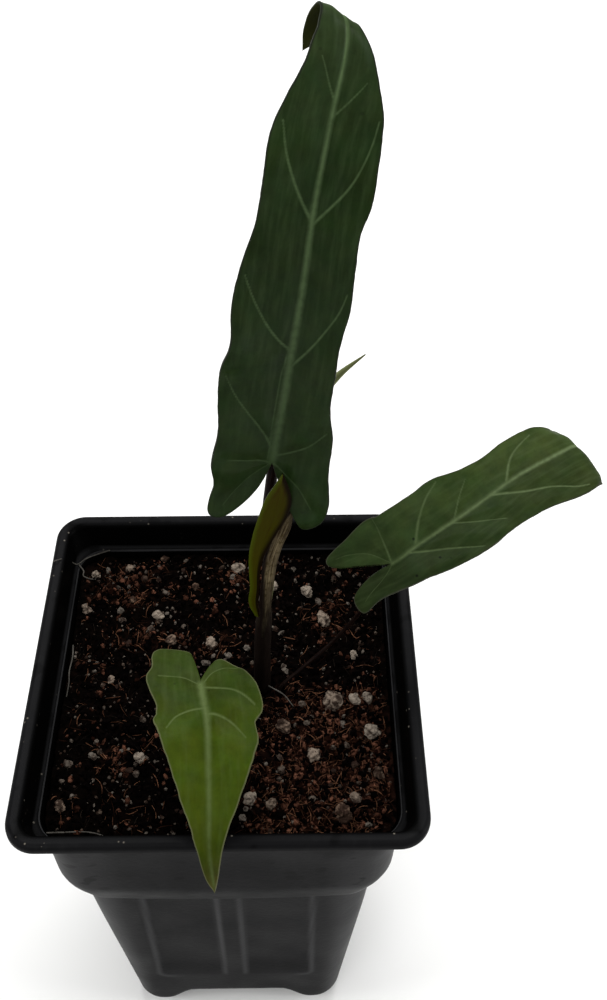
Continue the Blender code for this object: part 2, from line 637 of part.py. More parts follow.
def make_leaf(name, spine, rows, stalk, finish, group, rib, waves):
    """One leaf: the blade with its stalk grown on below the notch."""
    item = blade(name, spine, STALK_JOINT, rows, finish, group, BLADE, rib, waves)
    stem = tube(name + "_stalk", stalk, group)
    combine(item, [stem], "UNION", "MANIFOLD")
    shade_round(item, 40)
    return item


def make_sheaths(group):
    """The fresh green sheath and the dry brown one that wraps the foot of the tall leaf's stalk."""
    green = blade("green_sheath", GREEN_SPINE, 0, GREEN_ROWS, material("fresh_sheath", "6a6a1c", 0.45), group,
                  SHEATH_WALL)
    dry = blade("dry_sheath", DRY_SPINE, 0, DRY_ROWS, material("dry_papery_sheath", "4a342b", 0.7), group,
                SHEATH_WALL)
    foot = [(x, y, z, SHEATH_OUTER) for x, y, z, _ in TALL_STALK if z < SHEATH_TOP_Z]
    foot.append((9.55, 0.1, SHEATH_TOP_Z, SHEATH_OUTER))
    hollow = [(x, y, z, SHEATH_INNER) for x, y, z, _ in foot]
    hollow[0] = (hollow[0][0], hollow[0][1], hollow[0][2] - 2, SHEATH_INNER)
    hollow.append((10.1, 0.1, 144.0, SHEATH_INNER))
    combine(dry, [tube("sheath_foot", foot, group)], "UNION", "MANIFOLD")
    combine(dry, [tube("sheath_hollow", hollow, group)], "DIFFERENCE", "MANIFOLD")
    shade_round(green, 40)
    shade_round(dry, 40)


def main():
    clear_scene()
    plant = new_collection("potted_alocasia")
    cutters = new_collection("cutters")
    make_pot(plant, cutters)
    make_soil(plant)
    make_leaf("leaf_tall", TALL_SPINE, TALL_ROWS, TALL_STALK, material("dark_leaf", "25341f", 0.45), plant, 0.7,
              ((0.9, 31.0, 0.5), (0.4, 17.0, 1.9)))
    make_leaf("leaf_right", RIGHT_SPINE, RIGHT_ROWS, RIGHT_STALK, material("mid_green_leaf", "34461f", 0.42), plant,
              0.6, ((0.8, 24.0, 0.2),))
    make_leaf("leaf_front", FRONT_SPINE, FRONT_ROWS, FRONT_STALK, material("young_leaf", "3c5016", 0.42), plant,
              0.5, ((0.7, 19.0, 1.1),))
    spear = tube("new_leaf", NEW_LEAF, plant)
    spear.data.materials.append(material("pale_olive_spear", "7c7a52", 0.5))
    shade_round(spear)
    make_sheaths(plant)


main()
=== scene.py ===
# %% [markdown]
# A young alocasia in a square nursery pot
#
# This lesson dresses a small potted plant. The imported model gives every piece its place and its
# size. Each cell below adds one real thing on top of it: thin waved leaves with their veins, a
# crumbly mix of peat, coir and perlite, papery sheaths, and a thin black plastic pot. Nearly all
# of it is surfaces worked out with numpy, because a leaf is a rule about width and bend, and a
# rule is easier to change than a heap of points.

import math

import bmesh
import bpy
import numpy as np
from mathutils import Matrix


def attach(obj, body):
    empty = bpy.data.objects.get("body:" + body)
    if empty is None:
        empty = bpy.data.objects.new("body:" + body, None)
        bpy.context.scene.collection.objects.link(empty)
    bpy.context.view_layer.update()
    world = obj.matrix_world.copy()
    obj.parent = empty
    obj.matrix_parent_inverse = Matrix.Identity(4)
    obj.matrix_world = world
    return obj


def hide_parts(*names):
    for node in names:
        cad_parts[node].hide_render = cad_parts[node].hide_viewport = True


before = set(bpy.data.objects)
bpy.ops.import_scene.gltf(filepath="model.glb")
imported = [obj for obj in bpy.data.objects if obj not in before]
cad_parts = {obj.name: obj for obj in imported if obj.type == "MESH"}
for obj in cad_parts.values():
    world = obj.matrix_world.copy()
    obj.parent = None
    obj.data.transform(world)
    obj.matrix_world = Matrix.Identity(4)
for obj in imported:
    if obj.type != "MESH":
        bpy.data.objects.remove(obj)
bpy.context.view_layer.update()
MM = 0.001
print("nodes:", sorted(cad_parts))

# %% [markdown]
# Tools for surfaces
#
# A surface here is a grid: rows of points, in millimetres. One function lays quads over a grid,
# one puts points and faces into a mesh in a single call, and one welds the points that meet at a
# pole or a seam. The mesh gets its own numbers too, such as how near a point lies to a vein, so
# that the finish can follow the shape.

# %% Grids and meshes
def grid_faces(rows, columns, ring=False):
    """Quads over a grid of points stored row by row; with ring the last column joins the first."""
    spans = columns if ring else columns - 1
    row, column = np.meshgrid(np.arange(rows - 1), np.arange(spans), indexing="ij")
    after = (column + 1) % columns
    here, beyond = row * columns, (row + 1) * columns
    return np.stack([here + column, here + after, beyond + after, beyond + column], -1).reshape(-1, 4)


def new_piece(name, points, faces, finish=None, smooth=True, numbers=None):
    """Make an object of points in millimetres and faces with equal corner counts.

    The numbers are one value, or one vector, for each point, kept on the mesh under their name.
    """
    mesh = bpy.data.meshes.new(name)
    corners = faces.shape[1]
    mesh.vertices.add(len(points))
    mesh.vertices.foreach_set("co", (np.asarray(points) * MM).astype(np.float32).ravel())
    mesh.loops.add(faces.size)
    mesh.loops.foreach_set("vertex_index", faces.astype(np.int32).ravel())
    mesh.polygons.add(len(faces))
    mesh.polygons.foreach_set("loop_start", np.arange(0, faces.size, corners, dtype=np.int32))
    mesh.update(calc_edges=True)
    mesh.polygons.foreach_set("use_smooth", np.full(len(faces), smooth))
    for key, values in (numbers or {}).items():
        values = np.asarray(values, np.float32)
        kind, field = ("FLOAT", "value") if values.ndim == 1 else ("FLOAT_VECTOR", "vector")
        mesh.attributes.new(key, kind, "POINT").data.foreach_set(field, values.ravel())
    piece = bpy.data.objects.new(name, mesh)
    bpy.context.scene.collection.objects.link(piece)
    if finish is not None:
        mesh.materials.append(finish)
    return piece


def point_places(piece):
    """The places of a piece's points, in millimetres."""
    places = np.zeros(len(piece.data.vertices) * 3, np.float32)
    piece.data.vertices.foreach_get("co", places)
    return places.reshape(-1, 3) / MM


def add_numbers(piece, key, values):
    """Keep one value for each point on a finished mesh."""
    layer = piece.data.attributes.new(key, "FLOAT", "POINT")
    layer.data.foreach_set("value", np.asarray(values, np.float32))


def weld(piece, distance=1e-6):
    """Merge points that coincide, so that poles and seams close and no face is without area."""
    work = bmesh.new()
    work.from_mesh(piece.data)
    bmesh.ops.remove_doubles(work, verts=work.verts, dist=distance)
    bmesh.ops.dissolve_degenerate(work, edges=work.edges, dist=distance)
    work.to_mesh(piece.data)
    work.free()
    return piece


def face_outwards(piece):
    """Turn the faces of a closed mesh to point out."""
    work = bmesh.new()
    work.from_mesh(piece.data)
    bmesh.ops.recalc_face_normals(work, faces=work.faces)
    work.to_mesh(piece.data)
    work.free()
    return piece


print("mesh tools ready")

# %% [markdown]
# Curves and noise
#
# Growth is smooth at one scale and rough at the next. A Catmull-Rom curve runs through a few
# given points, and gives the smooth part. The rough part is value noise: random heights on
# a square lattice, with a smooth step between neighbours. Every draw has a seed, so the plant is
# the same plant each time.

# %% Curves and noise
LATTICE = 64


def catmull(rows, per_step):
    """A smooth curve through the rows of a table.

    Between two rows it is the cubic that leaves each row in the direction from the row before it
    to the row after it.
    """
    table = np.asarray(rows, float)
    padded = np.vstack([2 * table[0] - table[1], table, 2 * table[-1] - table[-2]])
    spans = len(table) - 1
    place = np.linspace(0, spans, spans * per_step + 1)
    first = np.minimum(place.astype(int), spans - 1)
    part = (place - first)[:, None]
    a, b, c, d = (padded[first + k] for k in range(4))
    return 0.5 * (2 * b + (c - a) * part + (2 * a - 5 * b + 4 * c - d) * part ** 2
                  + (3 * b - a - 3 * c + d) * part ** 3)


def ramp(value, start, end):
    """Smooth step from 0 at start to 1 at end."""
    part = np.clip((value - start) / (end - start), 0, 1)
    return part * part * (3 - 2 * part)


def noise(x, y, size, seed):
    """Value noise from -1 to 1: random heights on a lattice of the given size, smoothly joined.

    The lattice repeats, and a fixed shift keeps its first corner away from the object's middle.
    """
    lattice = np.random.default_rng(seed).uniform(-1, 1, (LATTICE, LATTICE))
    u, v = x / size + 17.3, y / size + 41.7
    i, j = np.floor(u).astype(int), np.floor(v).astype(int)
    s, t = ramp(u - i, 0, 1), ramp(v - j, 0, 1)
    here, beyond = i % LATTICE, (i + 1) % LATTICE
    low, high = j % LATTICE, (j + 1) % LATTICE
    near = lattice[here, low] * (1 - s) + lattice[beyond, low] * s
    far = lattice[here, high] * (1 - s) + lattice[beyond, high] * s
    return near * (1 - t) + far * t


print("curve and noise tools ready")

# %% Tubes
# Ridges round a tube, and what the second number of its flat place grows to in one turn.
RIDGES_ROUND = 5
FLAT_ROUND = 6


def run_length(points):
    """Distance along a line of points, from 0 at its first."""
    return np.concatenate([[0], np.cumsum(np.linalg.norm(np.diff(points, axis=0), axis=1))])


def tube_grid(path, radii, sides, ridges=0.0):
    """A round tube: at each path point a ring square to the path, in its radius times a wobble.

    The ring starts in the direction of +X made square to the path, which suits upright stalks. The
    wobble is 1 plus ridges times the cosine of five times the angle.
    """
    along = np.gradient(path, axis=0)
    along /= np.linalg.norm(along, axis=1, keepdims=True)
    first = np.array([1.0, 0, 0]) - along[:, :1] * along
    first /= np.linalg.norm(first, axis=1, keepdims=True)
    second = np.cross(along, first)
    turn = np.linspace(0, 2 * np.pi, sides, endpoint=False)
    wide = radii[:, None] * (1 + ridges * np.cos(RIDGES_ROUND * turn))
    ring = np.cos(turn)[None, :, None] * first[:, None] + np.sin(turn)[None, :, None] * second[:, None]
    return path[:, None] + wide[..., None] * ring


def tube(name, stations, sides, finish, per_step=8, ridges=0.0):
    """A closed stalk through x, y, z, radius stations, with both ends drawn in to a point.

    Its points keep a flat place: the distance along the stalk, and a number that grows round it.
    """
    line = catmull(stations, per_step)
    path = line[:, :3]
    grid = tube_grid(path, line[:, 3], sides, ridges)
    ends = [np.broadcast_to(path[k], (1, sides, 3)) for k in (0, -1)]
    grid = np.concatenate([ends[0], grid, ends[1]])
    shape = grid.shape[:2]
    along = np.broadcast_to(run_length(grid.mean(axis=1))[:, None], shape)
    around = np.broadcast_to(np.linspace(0, 1, sides, endpoint=False), shape)
    flat = np.stack([along, around * FLAT_ROUND, np.zeros(shape)], -1)
    faces = grid_faces(len(grid), sides, ring=True)
    piece = new_piece(name, grid.reshape(-1, 3), faces, finish, numbers={"flat": flat.reshape(-1, 3)})
    return face_outwards(weld(piece))


print("tube tools ready")

# %% [markdown]
# Tools for finishes
#
# Each finish is a small tree of nodes round one Principled shader. Colours are written as the
# sRGB hex values that a paint chart gives, and one function turns them into the linear numbers
# that light is worked out in. A number that is the same all over goes straight on the shader. What
# varies is painted on in coats, each with a mask, the way a real surface gets its dirt and wear.

# %% Finish tools
def linear(code):
    """The linear red, green, blue and alpha of a six-digit sRGB hex colour."""
    parts = np.array([int(code[i:i + 2], 16) for i in (0, 2, 4)]) / 255
    curve = np.where(parts <= 0.04045, parts / 12.92, ((parts + 0.055) / 1.055) ** 2.4)
    return (*curve.tolist(), 1.0)


def new_finish(name, colour, roughness, specular=0.5, **more):
    """A material with its Principled shader set; returns the material, its tree and that shader."""
    finish = bpy.data.materials.new(name)
    finish.use_nodes = True
    shader = finish.node_tree.nodes["Principled BSDF"]
    shader.inputs["Base Color"].default_value = linear(colour)
    shader.inputs["Roughness"].default_value = roughness
    shader.inputs["Specular IOR Level"].default_value = specular
    for key, value in more.items():
        shader.inputs[key.replace("_", " ").title()].default_value = value
    return finish, finish.node_tree, shader


def add(tree, kind, inputs=(), out=None, **settings):
    """Add one node with its settings and inputs, and return the output to use.

    Inputs are given in the node's own order, or by name or number. Each is a value, or another
    node's output that gets linked. Without a name the first output in use is returned.
    """
    made = tree.nodes.new("ShaderNode" + kind)
    for key, value in settings.items():
        setattr(made, key, value)
    for key, value in inputs.items() if isinstance(inputs, dict) else enumerate(inputs):
        if isinstance(value, bpy.types.NodeSocket):
            tree.links.new(value, made.inputs[key])
        else:
            made.inputs[key].default_value = value
    return made.outputs[out] if out else next(socket for socket in made.outputs if socket.enabled)


def paint(tree, base, *coats):
    """Lay coats of colour over a base, one after another, each as thick as its mask says."""
    for mask, colour in coats:
        under, over = (linear(c) if isinstance(c, str) else c for c in (base, colour))
        base = add(tree, "Mix", {0: mask, 6: under, 7: over}, data_type="RGBA")
    return base


def apply(tree, shader, colour, relief, strength, depth_mm):
    """Give the shader its colour, and a fine relief whose full height is this deep."""
    tree.links.new(colour, shader.inputs["Base Color"])
    bump = add(tree, "Bump", {"Height": relief, "Strength": strength, "Distance": depth_mm * MM})
    tree.links.new(bump, shader.inputs["Normal"])


def per_metre(millimetres):
    """A texture's scale for a pattern with features of this size, on coordinates in metres."""
    return 1000 / millimetres


print("finish tools ready")

# %% [markdown]
# Camera
#
# The picture was taken from above and in front, with the camera tipped about forty degrees down.
# The rim's four corners and the foot's two front ones fix its place, its tilt and its focal
# length. The frame is 607 by 1000 pixels, and the optical axis meets it above the middle.

# %% Camera
FRAME_HEIGHT_PX = 1000
FOCAL_PX = 1219.8
AXIS_Y_PX = 310.0
SENSOR_MM = 36.0
NEAREST_SEEN_M = 0.01
CAMERA_AT_MM = np.array([16.38, -168.80, 366.95])
PITCH_DOWN_DEG = 39.556
YAW_DEG = -0.711

lens = bpy.data.cameras.new("camera")
lens.sensor_width = SENSOR_MM
lens.lens = FOCAL_PX / FRAME_HEIGHT_PX * SENSOR_MM
lens.shift_y = (AXIS_Y_PX - FRAME_HEIGHT_PX / 2) / FRAME_HEIGHT_PX
lens.clip_start = NEAREST_SEEN_M
camera = bpy.data.objects.new("camera", lens)
camera.location = CAMERA_AT_MM * MM
camera.rotation_euler = (math.radians(90 - PITCH_DOWN_DEG), 0, math.radians(YAW_DEG))
bpy.context.scene.collection.objects.link(camera)
bpy.context.scene.camera = camera
print("lens %.1f mm" % lens.lens)

# %% [markdown]
# Floor and light
#
# A pale studio floor and four plain soft lights: one high behind, which puts the shine on the back
# rim, one high in front for the leaves, and a strip low on each side, which draws the pot's upright
# ridges. Black plastic and dark leaves show mostly what they reflect, so the surroundings are kept
# dim: a bright sky all round would turn the black pot grey.

# %% Floor and light
FLOOR_SIDE_M = 6.0
FLOOR_Z_MM = -0.2
FLOOR_CLOUDS_PER_M = 30.0
SKY_STRENGTH = 0.45

floor_finish, tree, shader = new_finish("matt_white_studio_floor", "f4f4f2", 0.9, 0.1)
place = add(tree, "TexCoord", out="Object")
cloud = add(tree, "TexNoise", {"Vector": place, "Scale": FLOOR_CLOUDS_PER_M})
tree.links.new(paint(tree, "f1f1ef", (cloud, "f7f7f6")), shader.inputs["Base Color"])
reach = FLOOR_SIDE_M / 2 / MM
corners = np.array([[-1, -1, 0], [1, -1, 0], [1, 1, 0], [-1, 1, 0]]) * reach
floor = new_piece("floor", corners + [0, 0, FLOOR_Z_MM], np.array([[0, 1, 2, 3]]), floor_finish)

world = bpy.data.worlds.new("studio")
world.use_nodes = True
world.node_tree.nodes["Background"].inputs["Color"].default_value = (1, 1, 1, 1)
world.node_tree.nodes["Background"].inputs["Strength"].default_value = SKY_STRENGTH
bpy.context.scene.world = world
bpy.context.scene.view_settings.view_transform = "Standard"


def soft_light(name, place_m, target_m, width_m, height_m, watts):
    """A rectangular area light at a place, turned to look at a target."""
    lamp = bpy.data.lights.new(name, "AREA")
    lamp.shape = "RECTANGLE"
    lamp.size = width_m
    lamp.size_y = height_m
    lamp.energy = watts
    holder = bpy.data.objects.new(name, lamp)
    holder.location = place_m
    aim = np.array(target_m) - np.array(place_m)
    flat = math.hypot(aim[0], aim[1])
    holder.rotation_euler = (math.atan2(flat, -aim[2]), 0, math.atan2(-aim[0], aim[1]))
    bpy.context.scene.collection.objects.link(holder)


# Each light's place and the point that it looks at, its width and height, all in metres, and watts.
LIGHTS = {
    "rear_softbox": ((0.1, 0.75, 1.25), (0, 0, 0.1), 1.1, 0.8, 16),
    "front_softbox": ((-0.35, -0.75, 1.35), (0, 0, 0.15), 0.8, 0.8, 5),
    "left_strip": ((-1.15, -0.15, 0.42), (0, 0, 0.1), 0.35, 0.8, 7),
    "right_strip": ((1.15, -0.15, 0.42), (0, 0, 0.1), 0.35, 0.8, 7),
}
for name, setting in LIGHTS.items():
    soft_light(name, *setting)
print("floor and lights set")

# %% [markdown]
# The pot
#
# A nursery pot is one sheet of black plastic, heated and sucked down over a mould, so every
# corner is rounded and the wall is thin. It could be cut from boxes, but a loft is truer to how
# it is made: a square with rounded corners is swept up a profile, and the profile gives its
# half-width, its corner radius and its height. The sheet then gets its thickness inwards.

# %% Pot sizes
# Half-widths, heights above the ground and radii, all in millimetres.
RIM_HALF = 45.0
POT_HEIGHT = 121.0
SHEET = 0.9
RIM_DROP = 2.0
FOOT_HALF = 25.2
BODY_FOOT_HALF, BODY_FOOT_Z = 28.4, 4.5
BODY_TOP_HALF, BODY_TOP_Z = 35.4, 78.6
BODY_CORNER = 7.3
CORNER_LIFT = 2.2
LIFT_START_Z, LIFT_END_Z, LIFT_GONE_Z = 55.0, 84.0, 104.0
BAND_FOOT_HALF, BAND_FOOT_Z, BAND_CORNER = 38.8, 87.5, 8.6
LEDGE_HALF, LEDGE_Z, LEDGE_CORNER = 40.3, 112.7, 7.5
COLLAR_HALF = 42.5
ARCH_LIFT, ARCH_FLAT, ARCH_END = 6.6, 10.0, 17.0
PAD_HALF, PAD_FLANK = 8.0, 2.5
PANEL_DEPTH, PANEL_RIB, PANEL_EDGE, PANEL_FOOT_Z = 0.9, 1.5, 21.4, 20.0
PANEL_CORNER, PANEL_FLANK, PANEL_RUN_OUT = 4.0, 2.4, 15.0
DRAIN_RADIUS, DRAIN_REACH = 3.0, 16.5
# Distances from a side's middle that get a column of points, closest where a panel's edge is steep.
SIDE_COLUMNS = (0.0, 0.7, 1.2, 1.6, 2.0, 2.4, 2.8, 3.2, 4.0, 5.6, 7.4, 9.4, 11.5, 13.5, 15.5, 16.6,
                17.4, 18.2, 19.0, 19.5, 20.0, 20.4, 20.8, 21.4, 22.5)
CORNER_STEPS = 12
print("pot %.0f mm a side and %.0f mm high" % (2 * RIM_HALF, POT_HEIGHT))


# %% Pot form
def square_ring(half, corner):
    """Rings of a square with rounded corners, one for each half-width, anticlockwise from above.

    Along a side the points keep the side columns, squeezed where the flat part is shorter. Round a
    corner they sit at equal angles of a quarter circle.
    """
    half, corner = np.broadcast_arrays(*(np.atleast_1d(v).astype(float) for v in (half, corner)))
    flat, round_part = (half - corner)[:, None], corner[:, None]
    columns = np.array([-c for c in SIDE_COLUMNS[:0:-1]] + list(SIDE_COLUMNS))
    side = columns[None] * np.minimum(1.0, flat / SIDE_COLUMNS[-1])
    turn = np.linspace(-math.pi / 2, 0, CORNER_STEPS + 1)[None]
    face = np.broadcast_to(-half[:, None], side.shape)
    x = np.concatenate([side, flat + round_part * np.cos(turn)], 1)
    y = np.concatenate([face, -flat + round_part * np.sin(turn)], 1)
    quarters = [(x, y), (-y, x), (-x, -y), (y, -x)]
    return np.concatenate([np.stack(q, -1) for q in quarters], 1)


def foot_height(x, y):
    """Height of the floor: arched between four corner feet and round a foot in the middle."""
    corner = ramp(np.abs(x), ARCH_FLAT, ARCH_END) * ramp(np.abs(y), ARCH_FLAT, ARCH_END)
    centre = 1 - ramp(np.maximum(np.abs(x), np.abs(y)), PAD_HALF, PAD_HALF + PAD_FLANK)
    return ARCH_LIFT * (1 - corner) * (1 - centre)


def body_half(z):
    """Half-width of the tapered lower body at height z."""
    share = (z - BODY_FOOT_Z) / (BODY_TOP_Z - BODY_FOOT_Z)
    return BODY_FOOT_HALF + (BODY_TOP_HALF - BODY_FOOT_HALF) * share


def panel_step(x, y, z):
    """How far a place lies inside a panel's edge, 0 at the edge to 1 on the panel.

    Each side has two panels, between the rib in its middle and the corners. Their lower outer
    corners are round. The edge is a smooth flank.
    """
    side = np.minimum(np.abs(x), np.abs(y))
    from_edge, from_foot = PANEL_EDGE - side, z - PANEL_FOOT_Z
    past = [np.minimum(gap - PANEL_CORNER, 0) for gap in (from_edge, from_foot)]
    from_corner = PANEL_CORNER - np.hypot(*past)
    inside = np.min([side - PANEL_RIB, from_edge, from_corner, from_foot], axis=0)
    return ramp(inside, 0, PANEL_FLANK)


def panel_depth(x, y, z):
    """How deep a panel is sunk at a place: its edge's step, run out to nothing at its foot."""
    return PANEL_DEPTH * panel_step(x, y, z) * ramp(z, PANEL_FOOT_Z, PANEL_FOOT_Z + PANEL_RUN_OUT)


def lift_corners(points):
    """Raise the shoulder towards the corners, as the drawn sheet does where it stretches least."""
    x, y, z = np.abs(points[..., 0]), np.abs(points[..., 1]), points[..., 2]
    share = np.minimum(x, y) / np.maximum(np.maximum(x, y), 1)
    zone = ramp(z, LIFT_START_Z, BODY_TOP_Z) * (1 - ramp(z, LIFT_END_Z, LIFT_GONE_Z))
    points[..., 2] += CORNER_LIFT * share ** 2 * zone
    return points


def soften(points, reach, steps=5):
    """Round each inner corner of a profile by a quadratic curve that starts and ends at its reach."""
    points = np.asarray(points, float)
    out = [points[:1]]
    share = np.linspace(0, 1, steps + 1)[:, None]
    for k in range(1, len(points) - 1):
        before, here, after = points[k - 1:k + 2]
        into, away = before - here, after - here
        start = here + into / np.linalg.norm(into[[0, 2]]) * reach[k]
        end = here + away / np.linalg.norm(away[[0, 2]]) * reach[k]
        out.append(start * (1 - share) ** 2 + 2 * here * share * (1 - share) + end * share ** 2)
    out.append(points[-1:])
    return np.concatenate(out)


print("body %.1f mm wide at 40 mm up" % (2 * body_half(40.0)))

# %% Pot surface
HUB_HALF = 0.4
FLOOR_ROWS = 22
FOOT_TURNS_DEG = np.arange(18, 91, 12.0)
# Heights of the body's rows, closest where the panels begin.
BODY_LEVELS = np.concatenate([np.linspace(14, 19, 3), np.linspace(20, 30, 13),
                              np.linspace(33, 70, 10), np.linspace(72, BODY_TOP_Z, 4)])
FLANGE_HALF, FLANGE_Z = RIM_HALF - SHEET, POT_HEIGHT - SHEET
# The profile above the body: half-width, corner radius, height, and how far its corner is softened.
UPPER_PROFILE = (
    (BODY_TOP_HALF, BODY_CORNER + 0.6, BODY_TOP_Z + 0.5, 0),
    (BODY_TOP_HALF + 1.3, BODY_CORNER + 1.6, BODY_TOP_Z + 1.2, 0.5),
    (BODY_TOP_HALF + 2.4, BAND_CORNER + 0.3, BODY_TOP_Z + 5.0, 1.2),
    (BAND_FOOT_HALF, BAND_CORNER, BAND_FOOT_Z, 2.5),
    (LEDGE_HALF - 1.0, LEDGE_CORNER + 0.8, LEDGE_Z - 12, 3.0),
    (LEDGE_HALF, LEDGE_CORNER, LEDGE_Z, 0.4),
    (LEDGE_HALF + 1.1, 6.4, LEDGE_Z + 0.7, 0.5),
    (COLLAR_HALF, 4.9, FLANGE_Z - 0.3, 0.5),
    (FLANGE_HALF, 6.1, FLANGE_Z, 0.45),
    (FLANGE_HALF, 6.1, POT_HEIGHT - RIM_DROP, 0))


def pot_surface():
    """Grid of the pot's outer sheet, from the middle of the floor up to the edge of the rim.

    Floor rows grow from the middle, with the floor's height. Foot rows follow a quarter ellipse.
    Body rows go from the arched foot up to level rings, with the panels sunk in by smooth ramps.
    The shoulder, band, ledge, collar and rim follow a softened profile of level rings.
    """
    half = np.concatenate([[HUB_HALF], np.linspace(2, FOOT_HALF, FLOOR_ROWS)])
    ring = square_ring(half, BODY_CORNER * half / BODY_FOOT_HALF)
    floor = np.concatenate([ring, foot_height(ring[..., 0], ring[..., 1])[..., None]], 2)

    edge = square_ring(FOOT_HALF, BODY_CORNER)[0]
    arch = foot_height(edge[:, 0], edge[:, 1])
    wall = square_ring(BODY_FOOT_HALF, BODY_CORNER)[0] / BODY_FOOT_HALF
    turn = np.radians(FOOT_TURNS_DEG)[:, None]
    foot_half = FOOT_HALF + (body_half(arch + BODY_FOOT_Z) - FOOT_HALF) * np.sin(turn)
    foot_z = arch + BODY_FOOT_Z * (1 - np.cos(turn))
    foot = np.concatenate([wall[None] * foot_half[..., None], foot_z[..., None]], 2)

    z = np.maximum(BODY_LEVELS[:, None], arch + BODY_FOOT_Z + 1)
    flat = wall[None] * body_half(z)[..., None]
    facing = np.abs(flat) >= np.abs(flat).max(axis=-1, keepdims=True) - 1e-6
    flat = flat - np.sign(flat) * facing * panel_depth(flat[..., 0], flat[..., 1], z)[..., None]
    body = np.concatenate([flat, z[..., None]], 2)

    profile = np.array(UPPER_PROFILE)
    line = soften(profile[:, :3], profile[:, 3])
    ring = square_ring(line[:, 0], line[:, 1])
    level = np.broadcast_to(line[:, 2, None, None], (*ring.shape[:2], 1))
    return lift_corners(np.concatenate([floor, foot, body, np.concatenate([ring, level], 2)]))


print("points in the upper profile:", len(UPPER_PROFILE))

# %% Pot piece
DRILL_SIDES = 32
DRILL_FOOT_Z, DRILL_TOP_Z = 2.0, 9.0
SHARP_EDGE_DEG = 50
# Where the painted highlight on the corners starts and where it is full, from a side's middle.
HIGHLIGHT_CORNER_FROM, HIGHLIGHT_CORNER_TO = 22.5, 28.0
# The lowest height of the painted shade inside the pot, and how far out from the middle it reaches.
SHADE_FROM_Z, SHADE_REACH = 88.0, 43.0


def make_drill(name, x, y):
    """A closed column that cuts one drain hole: two rings, each drawn in to its middle."""
    turn = np.linspace(0, 2 * np.pi, DRILL_SIDES, endpoint=False)
    centre = np.array([x, y]) * DRAIN_REACH
    ring = np.stack([np.cos(turn), np.sin(turn)], -1) * DRAIN_RADIUS + centre
    levels = (DRILL_FOOT_Z, DRILL_FOOT_Z, DRILL_TOP_Z, DRILL_TOP_Z)
    column = np.stack([np.column_stack([ring, np.full(DRILL_SIDES, z)]) for z in levels])
    column[[0, 3], :, :2] = centre
    drill = new_piece(name, column.reshape(-1, 3), grid_faces(4, DRILL_SIDES, ring=True))
    return face_outwards(weld(drill))


def mark_painted_light(pot):
    """Keep on the pot's points where light and shade are painted.

    Painted highlights lie on the panels' flanks and on the corners. Painted shade lies inside above
    the mix, less so on the lip of the ledge, and in a faint bell curve just above the shoulder outside.
    """
    x, y, z = point_places(pot).T
    side, reach = np.minimum(np.abs(x), np.abs(y)), np.maximum(np.abs(x), np.abs(y))
    # Painted highlight: lighter grey on the panels' flanks, hooked at their feet, and on the corners.
    step = panel_step(x, y, z)
    hook = ramp(side, PANEL_EDGE - 8, PANEL_EDGE - 4)
    flank = 4 * step * (1 - step) * np.maximum(ramp(z, PANEL_FOOT_Z + 0.5, PANEL_FOOT_Z + 3.5), hook)
    flank *= z < BODY_TOP_Z + 1
    corner = ramp(side, HIGHLIGHT_CORNER_FROM, HIGHLIGHT_CORNER_TO) * (z < BAND_FOOT_Z + 22)
    add_numbers(pot, "painted_highlight", np.maximum(flank, 0.6 * corner))
    facing = np.zeros(len(x) * 3, np.float32)
    pot.data.vertices.foreach_get("normal", facing)
    facing = facing.reshape(-1, 3)
    outward = (facing[:, 0] * x + facing[:, 1] * y) / np.maximum(np.hypot(x, y), 1)
    inside = ((outward < -0.2) | (facing[:, 2] > 0.5)) & (z > SHADE_FROM_Z)
    lip = np.exp(-((z - LEDGE_Z - 0.9) / 0.4) ** 2) * (reach < LEDGE_HALF)
    # Painted shade: a faint dark band just above the shoulder outside.
    shaded = 0.35 * np.exp(-((z - BODY_TOP_Z - 5.5) / 3.0) ** 2) * ~inside
    # Painted shade: near black inside the pot above the mix, lighter on the lip of the ledge.
    stain = ramp(SHADE_REACH - reach, 0, 1.2) * inside * (1 - 0.8 * lip)
    add_numbers(pot, "stain", np.maximum(stain, shaded))


def make_pot(finish):
    """The sheet with its thickness, drilled for drainage."""
    grid = pot_surface()
    rows, around = grid.shape[:2]
    hub, spoke = rows * around, np.arange(around)
    points = np.concatenate([grid.reshape(-1, 3), [[0, 0, 0]]])
    fan = np.stack([np.full(around, hub), (spoke + 1) % around, spoke, spoke], 1)
    faces = np.concatenate([grid_faces(rows, around, ring=True), fan])
    pot = weld(new_piece("pot_shell", points, faces, finish), 2e-6)
    wall = pot.modifiers.new("sheet", "SOLIDIFY")
    wall.thickness = SHEET * MM
    wall.offset = -1
    wall.use_even_offset = True
    drills = []
    for k, (x, y) in enumerate(((1, 0), (0, 1), (-1, 0), (0, -1))):
        drills.append(make_drill("drill_%d" % k, x, y))
        cut = pot.modifiers.new("drain_%d" % k, "BOOLEAN")
        cut.operation = "DIFFERENCE"
        cut.object = drills[-1]
    bpy.context.view_layer.update()
    graph = bpy.context.evaluated_depsgraph_get()
    finished = bpy.data.meshes.new_from_object(pot.evaluated_get(graph))
    pot.modifiers.clear()
    pot.data = finished
    for drill in drills:
        bpy.data.objects.remove(drill, do_unlink=True)
    pot.data.shade_smooth()
    pot.data.set_sharp_from_angle(angle=math.radians(SHARP_EDGE_DEG))
    mark_painted_light(pot)
    return pot


print("drain holes %.0f mm across" % (2 * DRAIN_RADIUS))

# %% [markdown]
# The pot's finish
#
# The pot is recycled polystyrene, drawn in a mould: black with a soft satin shine. Up close it
# has a faint peel and a few flow streaks. In use it picks up pale dust where it faces up and dark
# splashes where it was watered. Light and shade are painted on as well: a painted highlight line
# along the lip of the ledge and on the panels' flanks and corners, and painted shade inside the
# pot above the mix and just above the shoulder.

